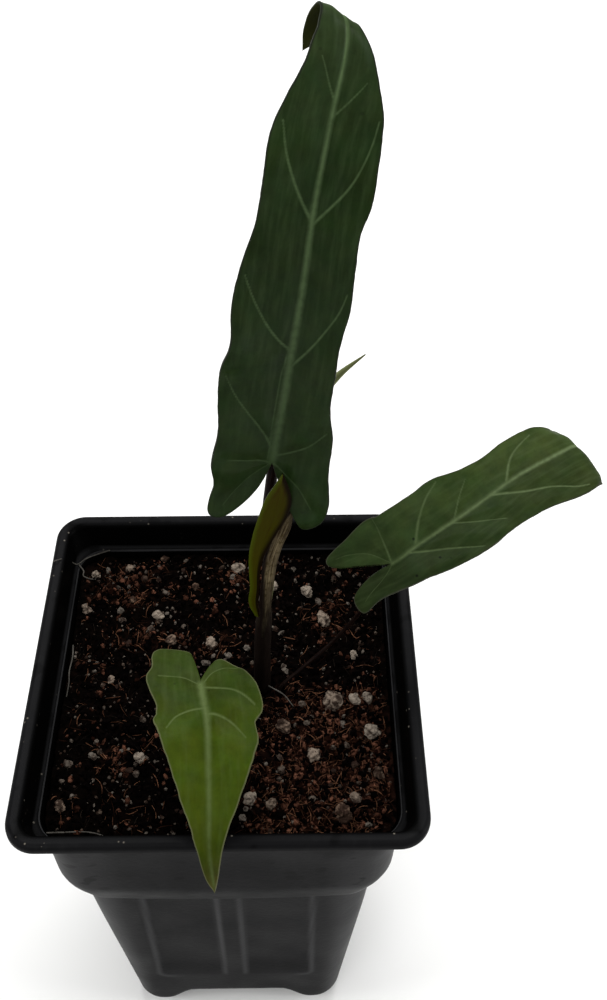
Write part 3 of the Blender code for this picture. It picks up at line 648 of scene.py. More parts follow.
# %% Pot finish
# Sizes of the plastic's marks in millimetres. The peel is drawn coarser than a real one, which
# would be too fine to see here.
SHADE_MM, STREAK_MM, SPLASH_MM = 14, 2.4, 6.5
DUST_SPECK_MM, DUST_PATCH_MM, PEEL_MM = 2.2, 9, 1.1
SPLASHES_FROM_M, SPLASHES_FULL_M = 0.068, 0.080
# Half the height of the painted highlight line along the lip of the ledge, in millimetres.
LIP_HIGHLIGHT_HALF = 0.25
# How streaks and splashes are drawn out: less than 1 lengthens a pattern that way.
STREAK_STRETCH, SPLASH_STRETCH = (1.0, 1.0, 0.12), (1.0, 1.0, 1.7)


def plastic_finish():
    """Black sheet, with painted highlights on its edges and painted shade inside and over the shoulder."""
    finish, tree, shader = new_finish("drawn_black_polystyrene", "171718", 0.38, 0.02)
    place = add(tree, "TexCoord", out="Object")
    height = add(tree, "SeparateXYZ", [place], "Z")
    shade = add(tree, "TexNoise", {"Vector": place, "Scale": per_metre(SHADE_MM), "Detail": 3.0})
    patchy = add(tree, "MapRange", [shade, 0.3, 0.6, 0.35, 0.8])

    drawn = add(tree, "Mapping", {"Vector": place, "Scale": STREAK_STRETCH})
    streak = add(tree, "TexNoise", {"Vector": drawn, "Scale": per_metre(STREAK_MM), "Detail": 2.0})
    streak = add(tree, "MapRange", [streak, 0.55, 0.8, 0.0, 0.35])
    # Painted highlight: this number lightens the panels' flanks and the corners, as if they caught the side
    # lights.
    painted_highlight = add(tree, "Attribute", out="Fac", attribute_name="painted_highlight")
    painted_highlight = add(tree, "Math", [painted_highlight, patchy], operation="MULTIPLY")
    lying = add(tree, "Mapping", {"Vector": place, "Scale": SPLASH_STRETCH})
    splash = add(tree, "TexNoise", {"Vector": lying, "Scale": per_metre(SPLASH_MM), "Detail": 1.5})
    splash = add(tree, "MapRange", [splash, 0.59, 0.635, 0.0, 0.58])
    wetted = add(tree, "MapRange", [height, SPLASHES_FROM_M, SPLASHES_FULL_M, 0.1, 1.0])
    splash = add(tree, "Math", [splash, wetted], operation="MULTIPLY")
    # The stain number holds painted shade: near black inside above the mix and a faint band over the
    # shoulder.
    stain = add(tree, "Attribute", out="Fac", attribute_name="stain")
    # Painted highlight: a thin grey line along the lip of the ledge, where it would catch the light.
    lip_z, lip_half = (LEDGE_Z + LIP_HIGHLIGHT_HALF) * MM, LIP_HIGHLIGHT_HALF * MM
    lip = add(tree, "Math", [height, lip_z, lip_half], operation="COMPARE")
    lip = add(tree, "Math", [lip, patchy], operation="MULTIPLY")

    cell = add(tree, "TexVoronoi", {"Vector": place, "Scale": per_metre(DUST_SPECK_MM)})
    speck = add(tree, "MapRange", [cell, 0.13, 0.07, 0.0, 0.8])
    where = add(tree, "TexNoise", {"Vector": place, "Scale": per_metre(DUST_PATCH_MM), "Detail": 2.0})
    where = add(tree, "MapRange", [where, 0.48, 0.6, 0.0, 1.0])
    upward = add(tree, "SeparateXYZ", [add(tree, "NewGeometry", out="Normal")], "Z")
    upward = add(tree, "MapRange", [upward, 0.2, 0.8, 0.04, 1.0])
    dust = add(tree, "Math", [speck, where], operation="MULTIPLY")
    dust = add(tree, "Math", [dust, upward], operation="MULTIPLY")

    # Coats: tone, flow streaks, painted highlight, splashes, painted shade, painted highlight line, dust.
    colour = paint(tree, "101011", (shade, "161617"), (streak, "1e1e1f"), (painted_highlight, "3c3c3d"),
                   (splash, "060606"), (stain, "020202"), (lip, "343435"), (dust, "6f695f"))
    rough = add(tree, "MapRange", [shade, 0.3, 0.7, 0.32, 0.46])
    tree.links.new(rough, shader.inputs["Roughness"])
    peel = add(tree, "TexNoise", {"Vector": place, "Scale": per_metre(PEEL_MM), "Detail": 2.0})
    apply(tree, shader, colour, peel, 0.18, 0.2)
    return finish


pot = make_pot(plastic_finish())
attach(pot, "root")
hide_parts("pot")
print("pot faces:", len(pot.data.polygons))

# %% [markdown]
# The mix
#
# Potting mix is peat, coir fibre and perlite. It fills the pot to just below the ledge. Peat is
# one surface with pits and crumbs at several sizes; what lies loose on it is made piece by
# piece, because each bit throws its own small shadow. The browner coir shows most at the front
# right, and in a few patches elsewhere.

# %% Mix surface
SOIL_Z, SOIL_HEAP = 109.5, 2.0
SOIL_HALF, SOIL_CORNER = 38.8, 7.3
SOIL_GRID = 281
HIGHEST_CRUMB = 3.6
# Where a stem stands in the mix: x, y and the radius of the dip round it, and how deep it dips.
STEM_PLACES = ((8.6, 0.2, 2.3), (12.7, -1.6, 1.0), (4.4, -2.4, 1.0))
STEM_DIP = 2.0
# Half-width and height of the rings that close the plug below its top, and of its floor.
SOIL_FLOOR_Z = 6.8
SOIL_RINGS = ((36.5, 92.0), (33.5, 86.0), (32.2, 76.0), (body_half(12.5) - 2.4, 12.5), (24.8, SOIL_FLOOR_Z))
# Patches of browner coir: x, y, half-length and half-depth.
COIR_PATCHES = ((-19, 13.5, 9.5, 2.6), (24, 20, 4, 5), (-26, 30, 10, 6), (-24, -19, 4, 3),
                (3, 33, 8, 4), (-3, 11, 4, 3))
CRUMBS = 900

draw = np.random.default_rng(11)
crumb_places = draw.uniform(-SOIL_HALF, SOIL_HALF, (CRUMBS, 2))
crumb_sizes = draw.uniform(0.5, 1.0, CRUMBS) ** 3 * 2.6 + 0.5


def soil_height(x, y):
    """Height of the peat: noise at four sizes, with the upper halves of round crumbs standing out.

    It is heaped a little towards the back.
    """
    height = 0.7 * noise(x, y, 15, 1) + 0.6 * noise(x, y, 5.5, 2) + 0.7 * noise(x, y, 2.3, 3)
    height += 0.5 * noise(x, y, 1.05, 4) + SOIL_HEAP * ramp(y, 0, SOIL_HALF)
    for (cx, cy), size in zip(crumb_places, crumb_sizes):
        near = (np.abs(x - cx) < size) & (np.abs(y - cy) < size)
        far = ((x[near] - cx) ** 2 + (y[near] - cy) ** 2) / size ** 2
        bump = height[near] * 0.5 + 0.5 * size * np.sqrt(np.clip(1 - far, 0, 1)) - 0.15 * size
        height[near] = np.where(far < 1, np.maximum(height[near], bump), height[near])
    return SOIL_Z + np.minimum(height, HIGHEST_CRUMB)


def coir_share(x, y):
    """How much of the mix is brown coir at a place, 0 to 1.

    It is high at the front right, with a bell curve for each patch, and noise breaks it up.
    """
    near_wall = 1 - 0.5 * ramp(x, 30, 38) * ramp(y, -20, -8)
    share = 0.10 + 0.85 * ramp(x, 3, 14) * (1 - ramp(y, -5, 2)) * near_wall
    for cx, cy, wide, deep in COIR_PATCHES:
        share = np.maximum(share, 0.85 * np.exp(-(((x - cx) / wide) ** 2 + ((y - cy) / deep) ** 2)))
    return np.clip(share * (1 + 0.9 * noise(x, y, 3.4, 8)), 0, 1)


print("crumbs set for the surface:", CRUMBS)


# %% Mix piece
def rounded_square_map(u, v, half, corner):
    """Carry a grid from -1 to 1 onto a square with rounded corners, pulling in the corners only."""
    x, y = u * half, v * half
    centre = half - corner
    over_x, over_y = np.maximum(np.abs(x) - centre, 0), np.maximum(np.abs(y) - centre, 0)
    pull = np.maximum(over_x, over_y) / np.maximum(np.hypot(over_x, over_y), 1e-9)
    pull = np.where(np.minimum(over_x, over_y) > 0, pull, 1)
    return (np.sign(x) * (np.minimum(np.abs(x), centre) + over_x * pull),
            np.sign(y) * (np.minimum(np.abs(y), centre) + over_y * pull))


def make_soil(finish):
    """The peat as one closed plug: the crumbly top, and rings that follow the pot down to its floor."""
    n = SOIL_GRID
    u, v = np.meshgrid(np.linspace(-1, 1, n), np.linspace(-1, 1, n), indexing="ij")
    x, y = rounded_square_map(u, v, SOIL_HALF, SOIL_CORNER)
    z = soil_height(x, y)
    for cx, cy, radius in STEM_PLACES:
        z -= STEM_DIP * (1 - ramp(np.hypot(x - cx, y - cy), radius, radius + 0.8))
    top = np.stack([x, y, z], -1).reshape(-1, 3)
    index = np.arange(n * n).reshape(n, n)
    border = np.concatenate([index[:, 0], index[-1, 1:], index[-2::-1, -1], index[0, -2:0:-1]])
    rings = []
    for half, level in SOIL_RINGS:
        ring = top[border].copy()
        ring[:, :2] *= half / SOIL_HALF
        ring[:, 2] = level
        rings.append(ring)
    rings.append(np.tile([0.0, 0.0, SOIL_FLOOR_Z], (len(border), 1)))
    faces = [grid_faces(n, n)[:, ::-1]]
    previous = border
    for k in range(len(rings)):
        ring = n * n + k * len(border) + np.arange(len(border))
        faces.append(np.stack([previous, ring, np.roll(ring, -1), np.roll(previous, -1)], 1))
        previous = ring
    soil = new_piece("peat_mix", np.concatenate([top] + rings), np.concatenate(faces), finish)
    return face_outwards(weld(soil))


print("mix surface: %d points a side" % SOIL_GRID)


# %% Mix finish
# Sizes of the grit and of the spacing of its pale specks in millimetres.
GRIT_MM, PEAT_SPECK_MM = 1.6, 1.3


def peat_finish():
    """Damp peat: almost black, with brown coir dust where the coir lies, and hardly any shine."""
    finish, tree, shader = new_finish("damp_peat_and_coir", "060403", 0.9, 0.005)
    place = add(tree, "TexCoord", out="Object")
    grit = add(tree, "TexNoise", {"Vector": place, "Scale": per_metre(GRIT_MM), "Detail": 4.0})
    rust = add(tree, "MapRange", [grit, 0.42, 0.62, 0.0, 1.0])
    coir_here = add(tree, "Attribute", out="Fac", attribute_name="coir")
    rust = add(tree, "Math", [rust, coir_here], operation="MULTIPLY")
    dot = add(tree, "TexVoronoi", {"Vector": place, "Scale": per_metre(PEAT_SPECK_MM)})
    dot = add(tree, "MapRange", [dot, 0.11, 0.07, 0.0, 0.5])
    colour = paint(tree, "010101", (grit, "060403"), (rust, "1f110c"), (dot, "3a332e"))
    apply(tree, shader, colour, grit, 0.9, 0.8)
    return finish


soil = make_soil(peat_finish())
x, y, z = point_places(soil).T
add_numbers(soil, "coir", coir_share(x, y))
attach(soil, "root")
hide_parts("soil")
print("peat faces:", len(soil.data.polygons))

# %% [markdown]
# What lies loose on the mix
#
# All the bits of a kind are one mesh: a small solid is copied by arithmetic, turned by random
# turns and roughened point by point. Copies of an object would do in a picture, but a real mesh
# is kept by every exporter. A crumb or a speck has twenty faces and a grain of perlite eighty.
# Only the large lumps of perlite, which the eye rests on, have over a thousand.

# %% Loose bits
def ball(subdivisions):
    """Points and triangles of a unit ball made of equal triangles."""
    work = bmesh.new()
    bmesh.ops.create_icosphere(work, subdivisions=subdivisions, radius=1.0)
    points = np.array([v.co for v in work.verts])
    faces = np.array([[v.index for v in f.verts] for f in work.faces])
    work.free()
    return points, faces


def random_turns(draw, count):
    """Seeded rotation matrices, from unit quaternions spread evenly over all turns."""
    q = draw.normal(size=(count, 4))
    w, x, y, z = (q / np.linalg.norm(q, axis=1, keepdims=True)).T
    rows = [[1 - 2 * (y * y + z * z), 2 * (x * y - z * w), 2 * (x * z + y * w)],
            [2 * (x * y + z * w), 1 - 2 * (x * x + z * z), 2 * (y * z - x * w)],
            [2 * (x * z - y * w), 2 * (y * z + x * w), 1 - 2 * (x * x + y * y)]]
    return np.moveaxis(np.array(rows), 2, 0)


def scatter(name, shape, centres, sizes, draw, rough, finish, smooth=False):
    """Copies of a shape: each point pushed in or out at random, stretched, turned and set down."""
    points, faces = shape
    count = len(centres)
    push = 1 + rough * draw.uniform(-1, 1, (count, len(points), 1))
    local = points[None] * push * sizes[:, None, :]
    turned = np.einsum("nij,nvj->nvi", random_turns(draw, count), local) + centres[:, None]
    all_faces = (faces[None] + (np.arange(count) * len(points))[:, None, None]).reshape(-1, 3)
    shade = np.repeat(draw.uniform(0, 1, count), len(points))
    return new_piece(name, turned.reshape(-1, 3), all_faces, finish, smooth, {"shade": shade})


def loose_places(draw, count, favour=None):
    """Seeded places on the mix, clear of the stems; with favour, kept in that share.

    Six times too many are drawn, so that enough are left.
    """
    spots = draw.uniform(-SOIL_HALF + 1.0, SOIL_HALF - 1.0, (count * 6, 2))
    keep = np.ones(len(spots), bool)
    for cx, cy, radius in STEM_PLACES:
        keep &= np.hypot(spots[:, 0] - cx, spots[:, 1] - cy) > radius + 1.2
    centre = SOIL_HALF - SOIL_CORNER
    over = np.maximum(np.abs(spots) - centre, 0)
    keep &= np.hypot(over[:, 0], over[:, 1]) < SOIL_CORNER - 1.2
    if favour is not None:
        keep &= draw.uniform(0, 1, len(spots)) < favour(spots[:, 0], spots[:, 1])
    return spots[keep][:count]


def set_down(spots, lift):
    """Places on the peat's surface, raised by a lift."""
    return np.column_stack([spots, soil_height(*spots.T.copy()) + lift])


print("faces of a crumb, a grain and a lump:", [len(ball(fineness)[1]) for fineness in (1, 2, 4)])


# %% Bit finishes
# Sizes of the marks on perlite and coir in millimetres.
PERLITE_STAIN_MM, BUBBLE_MM, COIR_MOTTLE_MM = 1.3, 0.8, 1.2


def bit_finish(name, dark, light, roughness, pore_mm):
    """A crumb of peat or pith: its own shade between two colours, with pores of a given size."""
    finish, tree, shader = new_finish(name, light, roughness, 0.01)
    place = add(tree, "TexCoord", out="Object")
    shade = add(tree, "Attribute", out="Fac", attribute_name="shade")
    pores = add(tree, "TexNoise", {"Vector": place, "Scale": per_metre(pore_mm), "Detail": 3.0})
    dirt = add(tree, "MapRange", [pores, 0.42, 0.6, 0.0, 1.0])
    mixed = add(tree, "Math", [shade, dirt], operation="MULTIPLY")
    apply(tree, shader, paint(tree, dark, (mixed, light)), pores, 0.9, 0.4)
    return finish


def perlite_finish(name, clean, stained):
    """Expanded volcanic glass: an off-white foam, grain by grain more or less stained by peat.

    Its bubbles are drawn 0.8 mm wide. Real ones are mostly finer, too fine to see here.
    """
    finish, tree, shader = new_finish(name, clean, 0.8, 0.06)
    place = add(tree, "TexCoord", out="Object")
    shade = add(tree, "Attribute", out="Fac", attribute_name="shade")
    tone = add(tree, "MapRange", [shade, 0.2, 1.0, 0.0, 0.9])
    stain = add(tree, "TexNoise", {"Vector": place, "Scale": per_metre(PERLITE_STAIN_MM), "Detail": 4.0})
    more = add(tree, "Math", [tone, 0.22], operation="MULTIPLY")
    stain = add(tree, "Math", [stain, more], operation="ADD")
    stain = add(tree, "MapRange", [stain, 0.50, 0.68, 0.0, 0.9])
    bubble = add(tree, "TexVoronoi", {"Vector": place, "Scale": per_metre(BUBBLE_MM)})
    pit = add(tree, "MapRange", [bubble, 0.26, 0.12, 0.0, 0.8])
    colour = paint(tree, clean, (tone, stained), (stain, "20130e"), (pit, "2a1e18"))
    apply(tree, shader, colour, bubble, 0.8, 0.6)
    return finish


def coir_finish(name, dark, light):
    """Husk fibre: strands and shreds, each its own brown."""
    finish, tree, shader = new_finish(name, light, 0.75, 0.02)
    place = add(tree, "TexCoord", out="Object")
    shade = add(tree, "Attribute", out="Fac", attribute_name="shade")
    mottle = add(tree, "TexNoise", {"Vector": place, "Scale": per_metre(COIR_MOTTLE_MM), "Detail": 2.0})
    mottle = add(tree, "MapRange", [mottle, 0.3, 0.6, 0.2, 1.0])
    few = add(tree, "Math", [shade, 1.8], operation="POWER")
    colour = paint(tree, dark, (mottle, paint(tree, dark, (few, light))))
    apply(tree, shader, colour, mottle, 0.4, 0.2)
    return finish


def dress_soil_piece(piece):
    """A loose piece rides with the pot."""
    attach(piece, "root")


print("bit finishes defined")

# %% Large perlite
# The large lumps of perlite where the photograph shows them: x, y and size.
LUMPS = (
    (25.5, -4.7, 4.6), (26.5, -33.0, 4.4), (19.5, 26.4, 3.6), (23.9, 18.9, 4.2), (-14.1, 12.6, 3.4),
    (-4.3, 11.8, 3.0), (-18.2, 20.1, 3.0), (13.8, -11.3, 3.2), (20.5, -18.6, 3.2), (34.0, -13.2, 3.4),
    (33.6, -3.6, 2.8), (30.7, -4.8, 2.6), (35.3, -23.4, 3.0), (29.6, -29.1, 2.8), (6.4, -28.8, 2.8),
    (11.1, -30.0, 2.8), (-35.8, -30.2, 3.0), (1.9, 33.8, 3.0), (-36.3, 22.4, 3.0), (-19.2, -18.1, 2.8),
    (-35.0, 32.6, 2.8), (-17.6, 37.4, 2.4), (-26.5, 34.6, 2.6), (-25.0, 25.0, 2.4), (31.0, 8.0, 2.4),
    (-28.0, 2.0, 2.4), (-9.0, 29.0, 2.4), (11.0, 28.5, 2.4))
LUMP_SINK = 0.22

perlite = perlite_finish("expanded_perlite", "897e71", "6a5241")
dusty = perlite_finish("peat_stained_perlite", "5d564e", "443529")
draw = np.random.default_rng(23)
lumps = np.array(LUMPS)
# The dents of a lump: how deep a share of its size, how wide in millimetres, and a seed.
DENTS = ((0.30, 1.8, 31), (0.24, 0.85, 32), (0.08, 0.4, 33))

centres = set_down(lumps[:, :2], LUMP_SINK * lumps[:, 2])
sizes = lumps[:, 2:3] * draw.uniform(0.34, 0.54, (len(lumps), 3))
large = scatter("perlite_lumps", ball(4), centres, sizes, draw, 0.012, perlite, True)
places = point_places(large)
x, y, z = places.T
slants = ((x + z, y - z), (x - z, y + z), (x, y + z))
dent = sum(deep * noise(*flat, wide, seed) for flat, (deep, wide, seed) in zip(slants, DENTS))
places += (places - np.repeat(centres, len(places) // len(lumps), axis=0)) * dent[:, None]
large.data.vertices.foreach_set("co", (places * MM).astype(np.float32).ravel())
dress_soil_piece(large)
print("lumps laid:", len(lumps))

# %% Small bits
peat_bits = bit_finish("peat_crumbs", "020101", "0a0605", 0.9, 0.8)
husk = bit_finish("coir_pith", "140805", "6b4636", 0.85, 0.9)
# For each kind: how many, where, size, stretch, subdivisions, lift, roughness and finish.
BITS = {
    "perlite_grains": (170, None, (0.35, 0.95), (0.6, 1.3), 2, 0.25, 0.24, dusty),
    "perlite_specks": (1000, None, (0.12, 0.42), (0.6, 1.5), 1, 0.15, 0.2, dusty),
    "peat_crumbs": (2600, None, (0.25, 0.95), (0.6, 1.3), 1, 0.1, 0.3, peat_bits),
    "coir_pith": (1500, coir_share, (0.2, 0.8), (0.4, 1.4), 1, 0.25, 0.3, husk),
}
for name, (count, favour, size, stretch, fineness, lift, rough, finish) in BITS.items():
    spots = loose_places(draw, count, favour)
    sizes = draw.uniform(*size, (len(spots), 1)) * draw.uniform(*stretch, (len(spots), 3))
    bits = scatter(name, ball(fineness), set_down(spots, lift), sizes, draw, rough, finish)
    dress_soil_piece(bits)
    print(name, len(spots))

# %% [markdown]
# Fibres and roots
#
# A coir strand is a thin three-sided tube along a gentle arc that follows the ground. All the
# strands are worked out at once: one array holds every strand's stations. Six thin roots lie
# where they show: two at the back left corner, where one climbs over the rim, one along the left
# wall, one along the front and two by the stems.

# %% Fibres
STRAND_STATIONS = 7
STRAND_SIDES_DEG = (90, 210, 330)


def strands(name, spots, lengths, radii, draw, finish, lift=0.25):
    """Many strands on the mix.

    A strand runs from its spot in a random heading, bends aside as half a sine, rises in the middle
    and follows the peat's height; its three-sided ring thins towards both ends.
    """
    count, stations, sides = len(spots), STRAND_STATIONS, len(STRAND_SIDES_DEG)
    t = np.linspace(0, 1, stations)[None]
    heading = draw.uniform(0, 2 * np.pi, (count, 1))
    bow = draw.uniform(-0.16, 0.16, (count, 1)) * lengths[:, None]
    run, aside = (t - 0.5) * lengths[:, None], bow * np.sin(np.pi * t)
    x = spots[:, :1] + run * np.cos(heading) - aside * np.sin(heading)
    y = spots[:, 1:] + run * np.sin(heading) + aside * np.cos(heading)
    reach = SOIL_HALF - 0.6
    x, y = np.clip(x, -reach, reach), np.clip(y, -reach, reach)
    z = soil_height(x.ravel(), y.ravel()).reshape(x.shape)
    z = (z + z.mean(axis=1, keepdims=True)) / 2 + lift
    z += (draw.uniform(-0.25, 0.6, (count, 1)) * np.sin(np.pi * t)
          + draw.uniform(-0.5, 0.5, (count, 1)) * (t - 0.5))
    path = np.stack([x, y, z], -1)
    along = np.gradient(path, axis=1)
    along /= np.maximum(np.linalg.norm(along, axis=-1, keepdims=True), 1e-6)
    side = np.cross(along, [0.0, 0.0, 1.0])
    side /= np.maximum(np.linalg.norm(side, axis=-1, keepdims=True), 1e-6)
    rise = np.cross(side, along)
    thin = radii[:, None] * (0.35 + 0.65 * np.sin(np.pi * (0.08 + 0.84 * t)))
    turn = np.radians(STRAND_SIDES_DEG)[:, None]
    ring = np.cos(turn) * side[:, :, None] + np.sin(turn) * rise[:, :, None]
    grid = path[:, :, None] + thin[..., None, None] * ring
    quads = grid_faces(stations, sides, ring=True)
    last = sides * (stations - 1)
    caps = np.array([[0, 2, 1], [last, last + 1, last + 2]])
    triangles = np.concatenate([quads[:, [0, 1, 2]], quads[:, [0, 2, 3]], caps])
    faces = (triangles[None] + (np.arange(count) * sides * stations)[:, None, None]).reshape(-1, 3)
    shade = np.repeat(draw.uniform(0, 1, count), sides * stations)
    return face_outwards(new_piece(name, grid.reshape(-1, 3), faces, finish, True, {"shade": shade}))


coir = coir_finish("coir_fibre", "190a06", "845c44")
thread = coir_finish("peat_thread", "070504", "2e2620")
# For each kind: how many, where, the range and scale of its lengths, its radii and its finish.
STRANDS = {
    "coir_fibres": (1500, coir_share, (0.15, 1), 4.0, (0.06, 0.17), coir),
    "peat_threads": (700, None, (0.2, 1), 3.0, (0.05, 0.11), thread),
}
SHORTEST_STRAND = 0.8
for name, (count, favour, spread, scale, radius, finish) in STRANDS.items():
    spots = loose_places(draw, count, favour)
    lengths = draw.uniform(*spread, len(spots)) ** 2 * scale + SHORTEST_STRAND
    radii = draw.uniform(*radius, len(spots))
    dress_soil_piece(strands(name, spots, lengths, radii, draw, finish))
    print(name, len(spots))

# %% Roots
# Each root's points: x, y and the height over the peat.
ROOTS = (
    ((-32.0, 39.3, 1.9), (-35.2, 38.9, 1.5), (-38.0, 37.0, 1.2), (-40.0, 34.6, 1.6),
     (-41.2, 33.4, 4.4), (-42.3, 31.4, 8.2), (-43.4, 29.6, 10.0), (-44.6, 29.4, 9.6)),
    ((-39.6, 34.6, 1.4), (-38.3, 33.2, 0.9), (-38.2, 31.8, 0.6), (-36.5, 31.1, 0.8), (-34.3, 31.2, 0.3)),
    ((-38.4, 11.8, 0.6), (-38.0, 8.0, 0.9), (-38.3, 4.3, 0.9), (-37.9, 0.8, 1.1), (-38.2, -2.3, 0.3)),
    ((-37.8, -36.3, 0.6), (-33.6, -36.4, 1.0), (-30.0, -36.1, 0.9), (-26.6, -37.2, 1.1),
     (-23.6, -37.6, 0.5)),
    ((8.0, 0.8, 1.0), (10.6, -1.6, 1.6), (13.8, -3.4, 1.3), (16.0, -6.0, 0.5)),
    ((4.0, -7.4, 1.2), (5.8, -8.6, 1.6), (8.4, -9.6, 0.8)))
ROOT_THICK, ROOT_THIN = 0.19, 0.12
ROOT_GROUND_REACH = 38
ROOT_RING_MM = 1.6


def root_finish():
    """Old root: a tan skin with darker rings."""
    finish, tree, shader = new_finish("dry_root_skin", "4c453d", 0.7, 0.08)
    place = add(tree, "TexCoord", out="Object")
    mottle = add(tree, "TexNoise", {"Vector": place, "Scale": per_metre(ROOT_RING_MM), "Detail": 3.0})
    apply(tree, shader, paint(tree, "1c1b19", (mottle, "625e57")), mottle, 0.5, 0.2)
    return finish


root_skin = root_finish()
for k, points in enumerate(ROOTS):
    line = np.array(points, float)
    line[:, 2] += soil_height(*np.clip(line[:, :2], -ROOT_GROUND_REACH, ROOT_GROUND_REACH).T)
    radius = np.linspace(ROOT_THICK, ROOT_THIN, len(line))
    dress_soil_piece(tube("root_%d" % k, np.column_stack([line, radius]), 8, root_skin, 10))
print("roots laid:", len(ROOTS))

# %% [markdown]
# How a leaf is described
#
# A leaf blade is bent card. Its flat plan is a table of rows: where a row leaves the midrib, and
# where it ends on the left and on the right margin, each as a distance along the leaf and one
# across it. Its bend is a spine: points in space, with the direction that lies across the blade
# there and how far each half is folded up. Carrying the plan on to the spine gives the blade,
# and the plan keeps on working as a map for veins, waves and colour.

# %% Leaf surface
SPINE_STEPS = 40
TANGENT_REACH = 0.6
# The row of a leaf's spine where its stalk joins, and from which its stations are counted.
STALK_JOINT = 1
# Within this distance of the midrib the two halves' folds blend into each other.
FOLD_BLEND = 0.8
# Sizes of the margin's large and small steps in and out.
RIPPLE_WIDE, RIPPLE_FINE = 2.1, 0.8


def bend(spine, start, stations, offsets):
    """Carry plan places (station, offset) on to a spine.

    A place is the spine's point at its station, plus its offset along the across direction turned
    up by that half's fold. Returns the places and the direction that the upper face looks in.
    """
    fine = catmull(spine, SPINE_STEPS)
    length = run_length(fine[:, :3])
    length -= length[start * SPINE_STEPS]
    stations = np.clip(stations, length[0], length[-1])
    at = np.stack([np.interp(stations, length, fine[:, k]) for k in range(8)], -1)
    ahead, behind = (np.stack([np.interp(stations + step, length, fine[:, k]) for k in range(3)], -1)
                     for step in (TANGENT_REACH, -TANGENT_REACH))
    along = ahead - behind
    along /= np.linalg.norm(along, axis=-1, keepdims=True)
    across = at[..., 3:6] - (at[..., 3:6] * along).sum(-1, keepdims=True) * along
    across /= np.linalg.norm(across, axis=-1, keepdims=True)
    up = np.cross(across, along)
    share = ramp(offsets, -FOLD_BLEND, FOLD_BLEND)
    fold = np.radians(at[..., 6] * (1 - share) + at[..., 7] * share)
    place = at[..., :3] + (offsets * np.cos(fold))[..., None] * across
    place += (np.abs(offsets) * np.sin(fold))[..., None] * up
    return place, up


def leaf_plan(rows, row_steps, reach_steps, ripple):
    """The plan as a grid: stations, offsets and distance to the margin, left margin to right margin.

    The margin is not quite smooth: noise moves it in and out by up to the ripple.
    """
    fine = catmull(rows, row_steps)
    root = np.maximum(fine[:, :1], rows[0][0])
    share = np.linspace(0, 1, reach_steps + 1)[None]
    halves = []
    for side in (-1, 1):
        column = 1 if side < 0 else 3
        station, half = fine[:, column:column + 1], fine[:, column + 1:column + 2]
        apart = np.full(station.shape, side)
        rough = noise(station, 30 * apart, RIPPLE_WIDE, 61)
        rough += 0.6 * noise(station, 50 * apart, RIPPLE_FINE, 62)
        half = side * (half + ripple * rough * ramp(half, 0.5, 4))
        span = np.hypot(station - root, half)
        halves.append((root + (station - root) * share, half * share, span * (1 - share)))
    left, right = halves
    return [np.concatenate([a[:, :0:-1], b], 1) for a, b in zip(left, right)]


def vein_field(stations, offsets, lines):
    """How strongly each place lies on a vein, 0 to 1, and its distance to the nearest one.

    A vein is a smooth line through plan points, with a half-width at its start and at its end. Its
    strength falls off as a bell curve of the distance over that half-width, and a thin vein is
    fainter than a wide one.
    """
    strength = np.zeros(stations.shape)
    nearest = np.full(stations.shape, 1e3)
    for points, wide, thin in lines:
        path = catmull(points, 6)
        for k in range(len(path) - 1):
            a, step = path[k], path[k + 1] - path[k]
            along = ((stations - a[0]) * step[0] + (offsets - a[1]) * step[1]) / (step @ step)
            along = np.clip(along, 0, 1)
            away = np.hypot(stations - a[0] - along * step[0], offsets - a[1] - along * step[1])
            width = wide + (thin - wide) * (k + along) / (len(path) - 1)
            clear = np.clip(0.45 + width, 0, 1)
            strength = np.maximum(strength, clear * np.exp(-(away / width) ** 2))
            nearest = np.minimum(nearest, away)
    return strength, nearest


print("leaf plan, bend and veins defined")

# %% Blade piece
# In millimetres: the offset at which a wave has its stated size, how far in from the margin the
# blade stays even, how wide a furrowed vein pulls the face down, and the small dimples.
WAVE_REACH, FLAT_MARGIN, QUILT_WIDTH = 12, 2.5, 2.2
DIMPLE, DIMPLE_WIDTH = 0.12, 3.1


def make_blade(name, spine, rows, steps, veins, waves, finishes, start=STALK_JOINT, thick=0.42,
               quilt=0.35, furrow=0.14, ripple=0.0):
    """A blade: the plan bent on its spine, then waved, quilted between its veins and given thickness.

    The wave is a sine along the leaf that grows with the square of the distance from the midrib.
    The quilting lifts the face where it is far from a vein, and the veins lie in furrows. The steps
    are the rows made between two rows of the table, and the columns in each half.
    """
    stations, offsets, margin = leaf_plan(rows, *steps, ripple)
    place, up = bend(spine, start, stations, offsets)
    strength, nearest = vein_field(stations, offsets, veins)
    lift = np.zeros(stations.shape)
    for size, pitch, phase in waves:
        swell = np.sin(2 * np.pi * stations / pitch + phase + ramp(offsets, -0.5, 0.5) * 2)
        lift += size * (np.abs(offsets) / WAVE_REACH) ** 2 * swell
    inner = ramp(margin, 0, FLAT_MARGIN)
    lift += quilt * (1 - np.exp(-(nearest / QUILT_WIDTH) ** 2)) * inner - quilt * 0.5
    lift += DIMPLE * noise(stations, offsets, DIMPLE_WIDTH, 51) * inner - furrow * strength
    place = place + lift[..., None] * up
    flat = np.stack([stations, np.abs(offsets), np.sign(offsets)], -1)
    numbers = {"vein": strength.ravel(), "margin": margin.ravel(), "flat": flat.reshape(-1, 3)}
    faces = grid_faces(*stations.shape)
    piece = new_piece(name, place.reshape(-1, 3), faces, finishes[0], numbers=numbers)
    piece.data.materials.append(finishes[1])
    weld(piece)
    wall = piece.modifiers.new("thickness", "SOLIDIFY")
    wall.thickness = thick * MM
    wall.offset = 0
    wall.material_offset = 1
    print(name, "faces:", len(piece.data.polygons))
    return piece


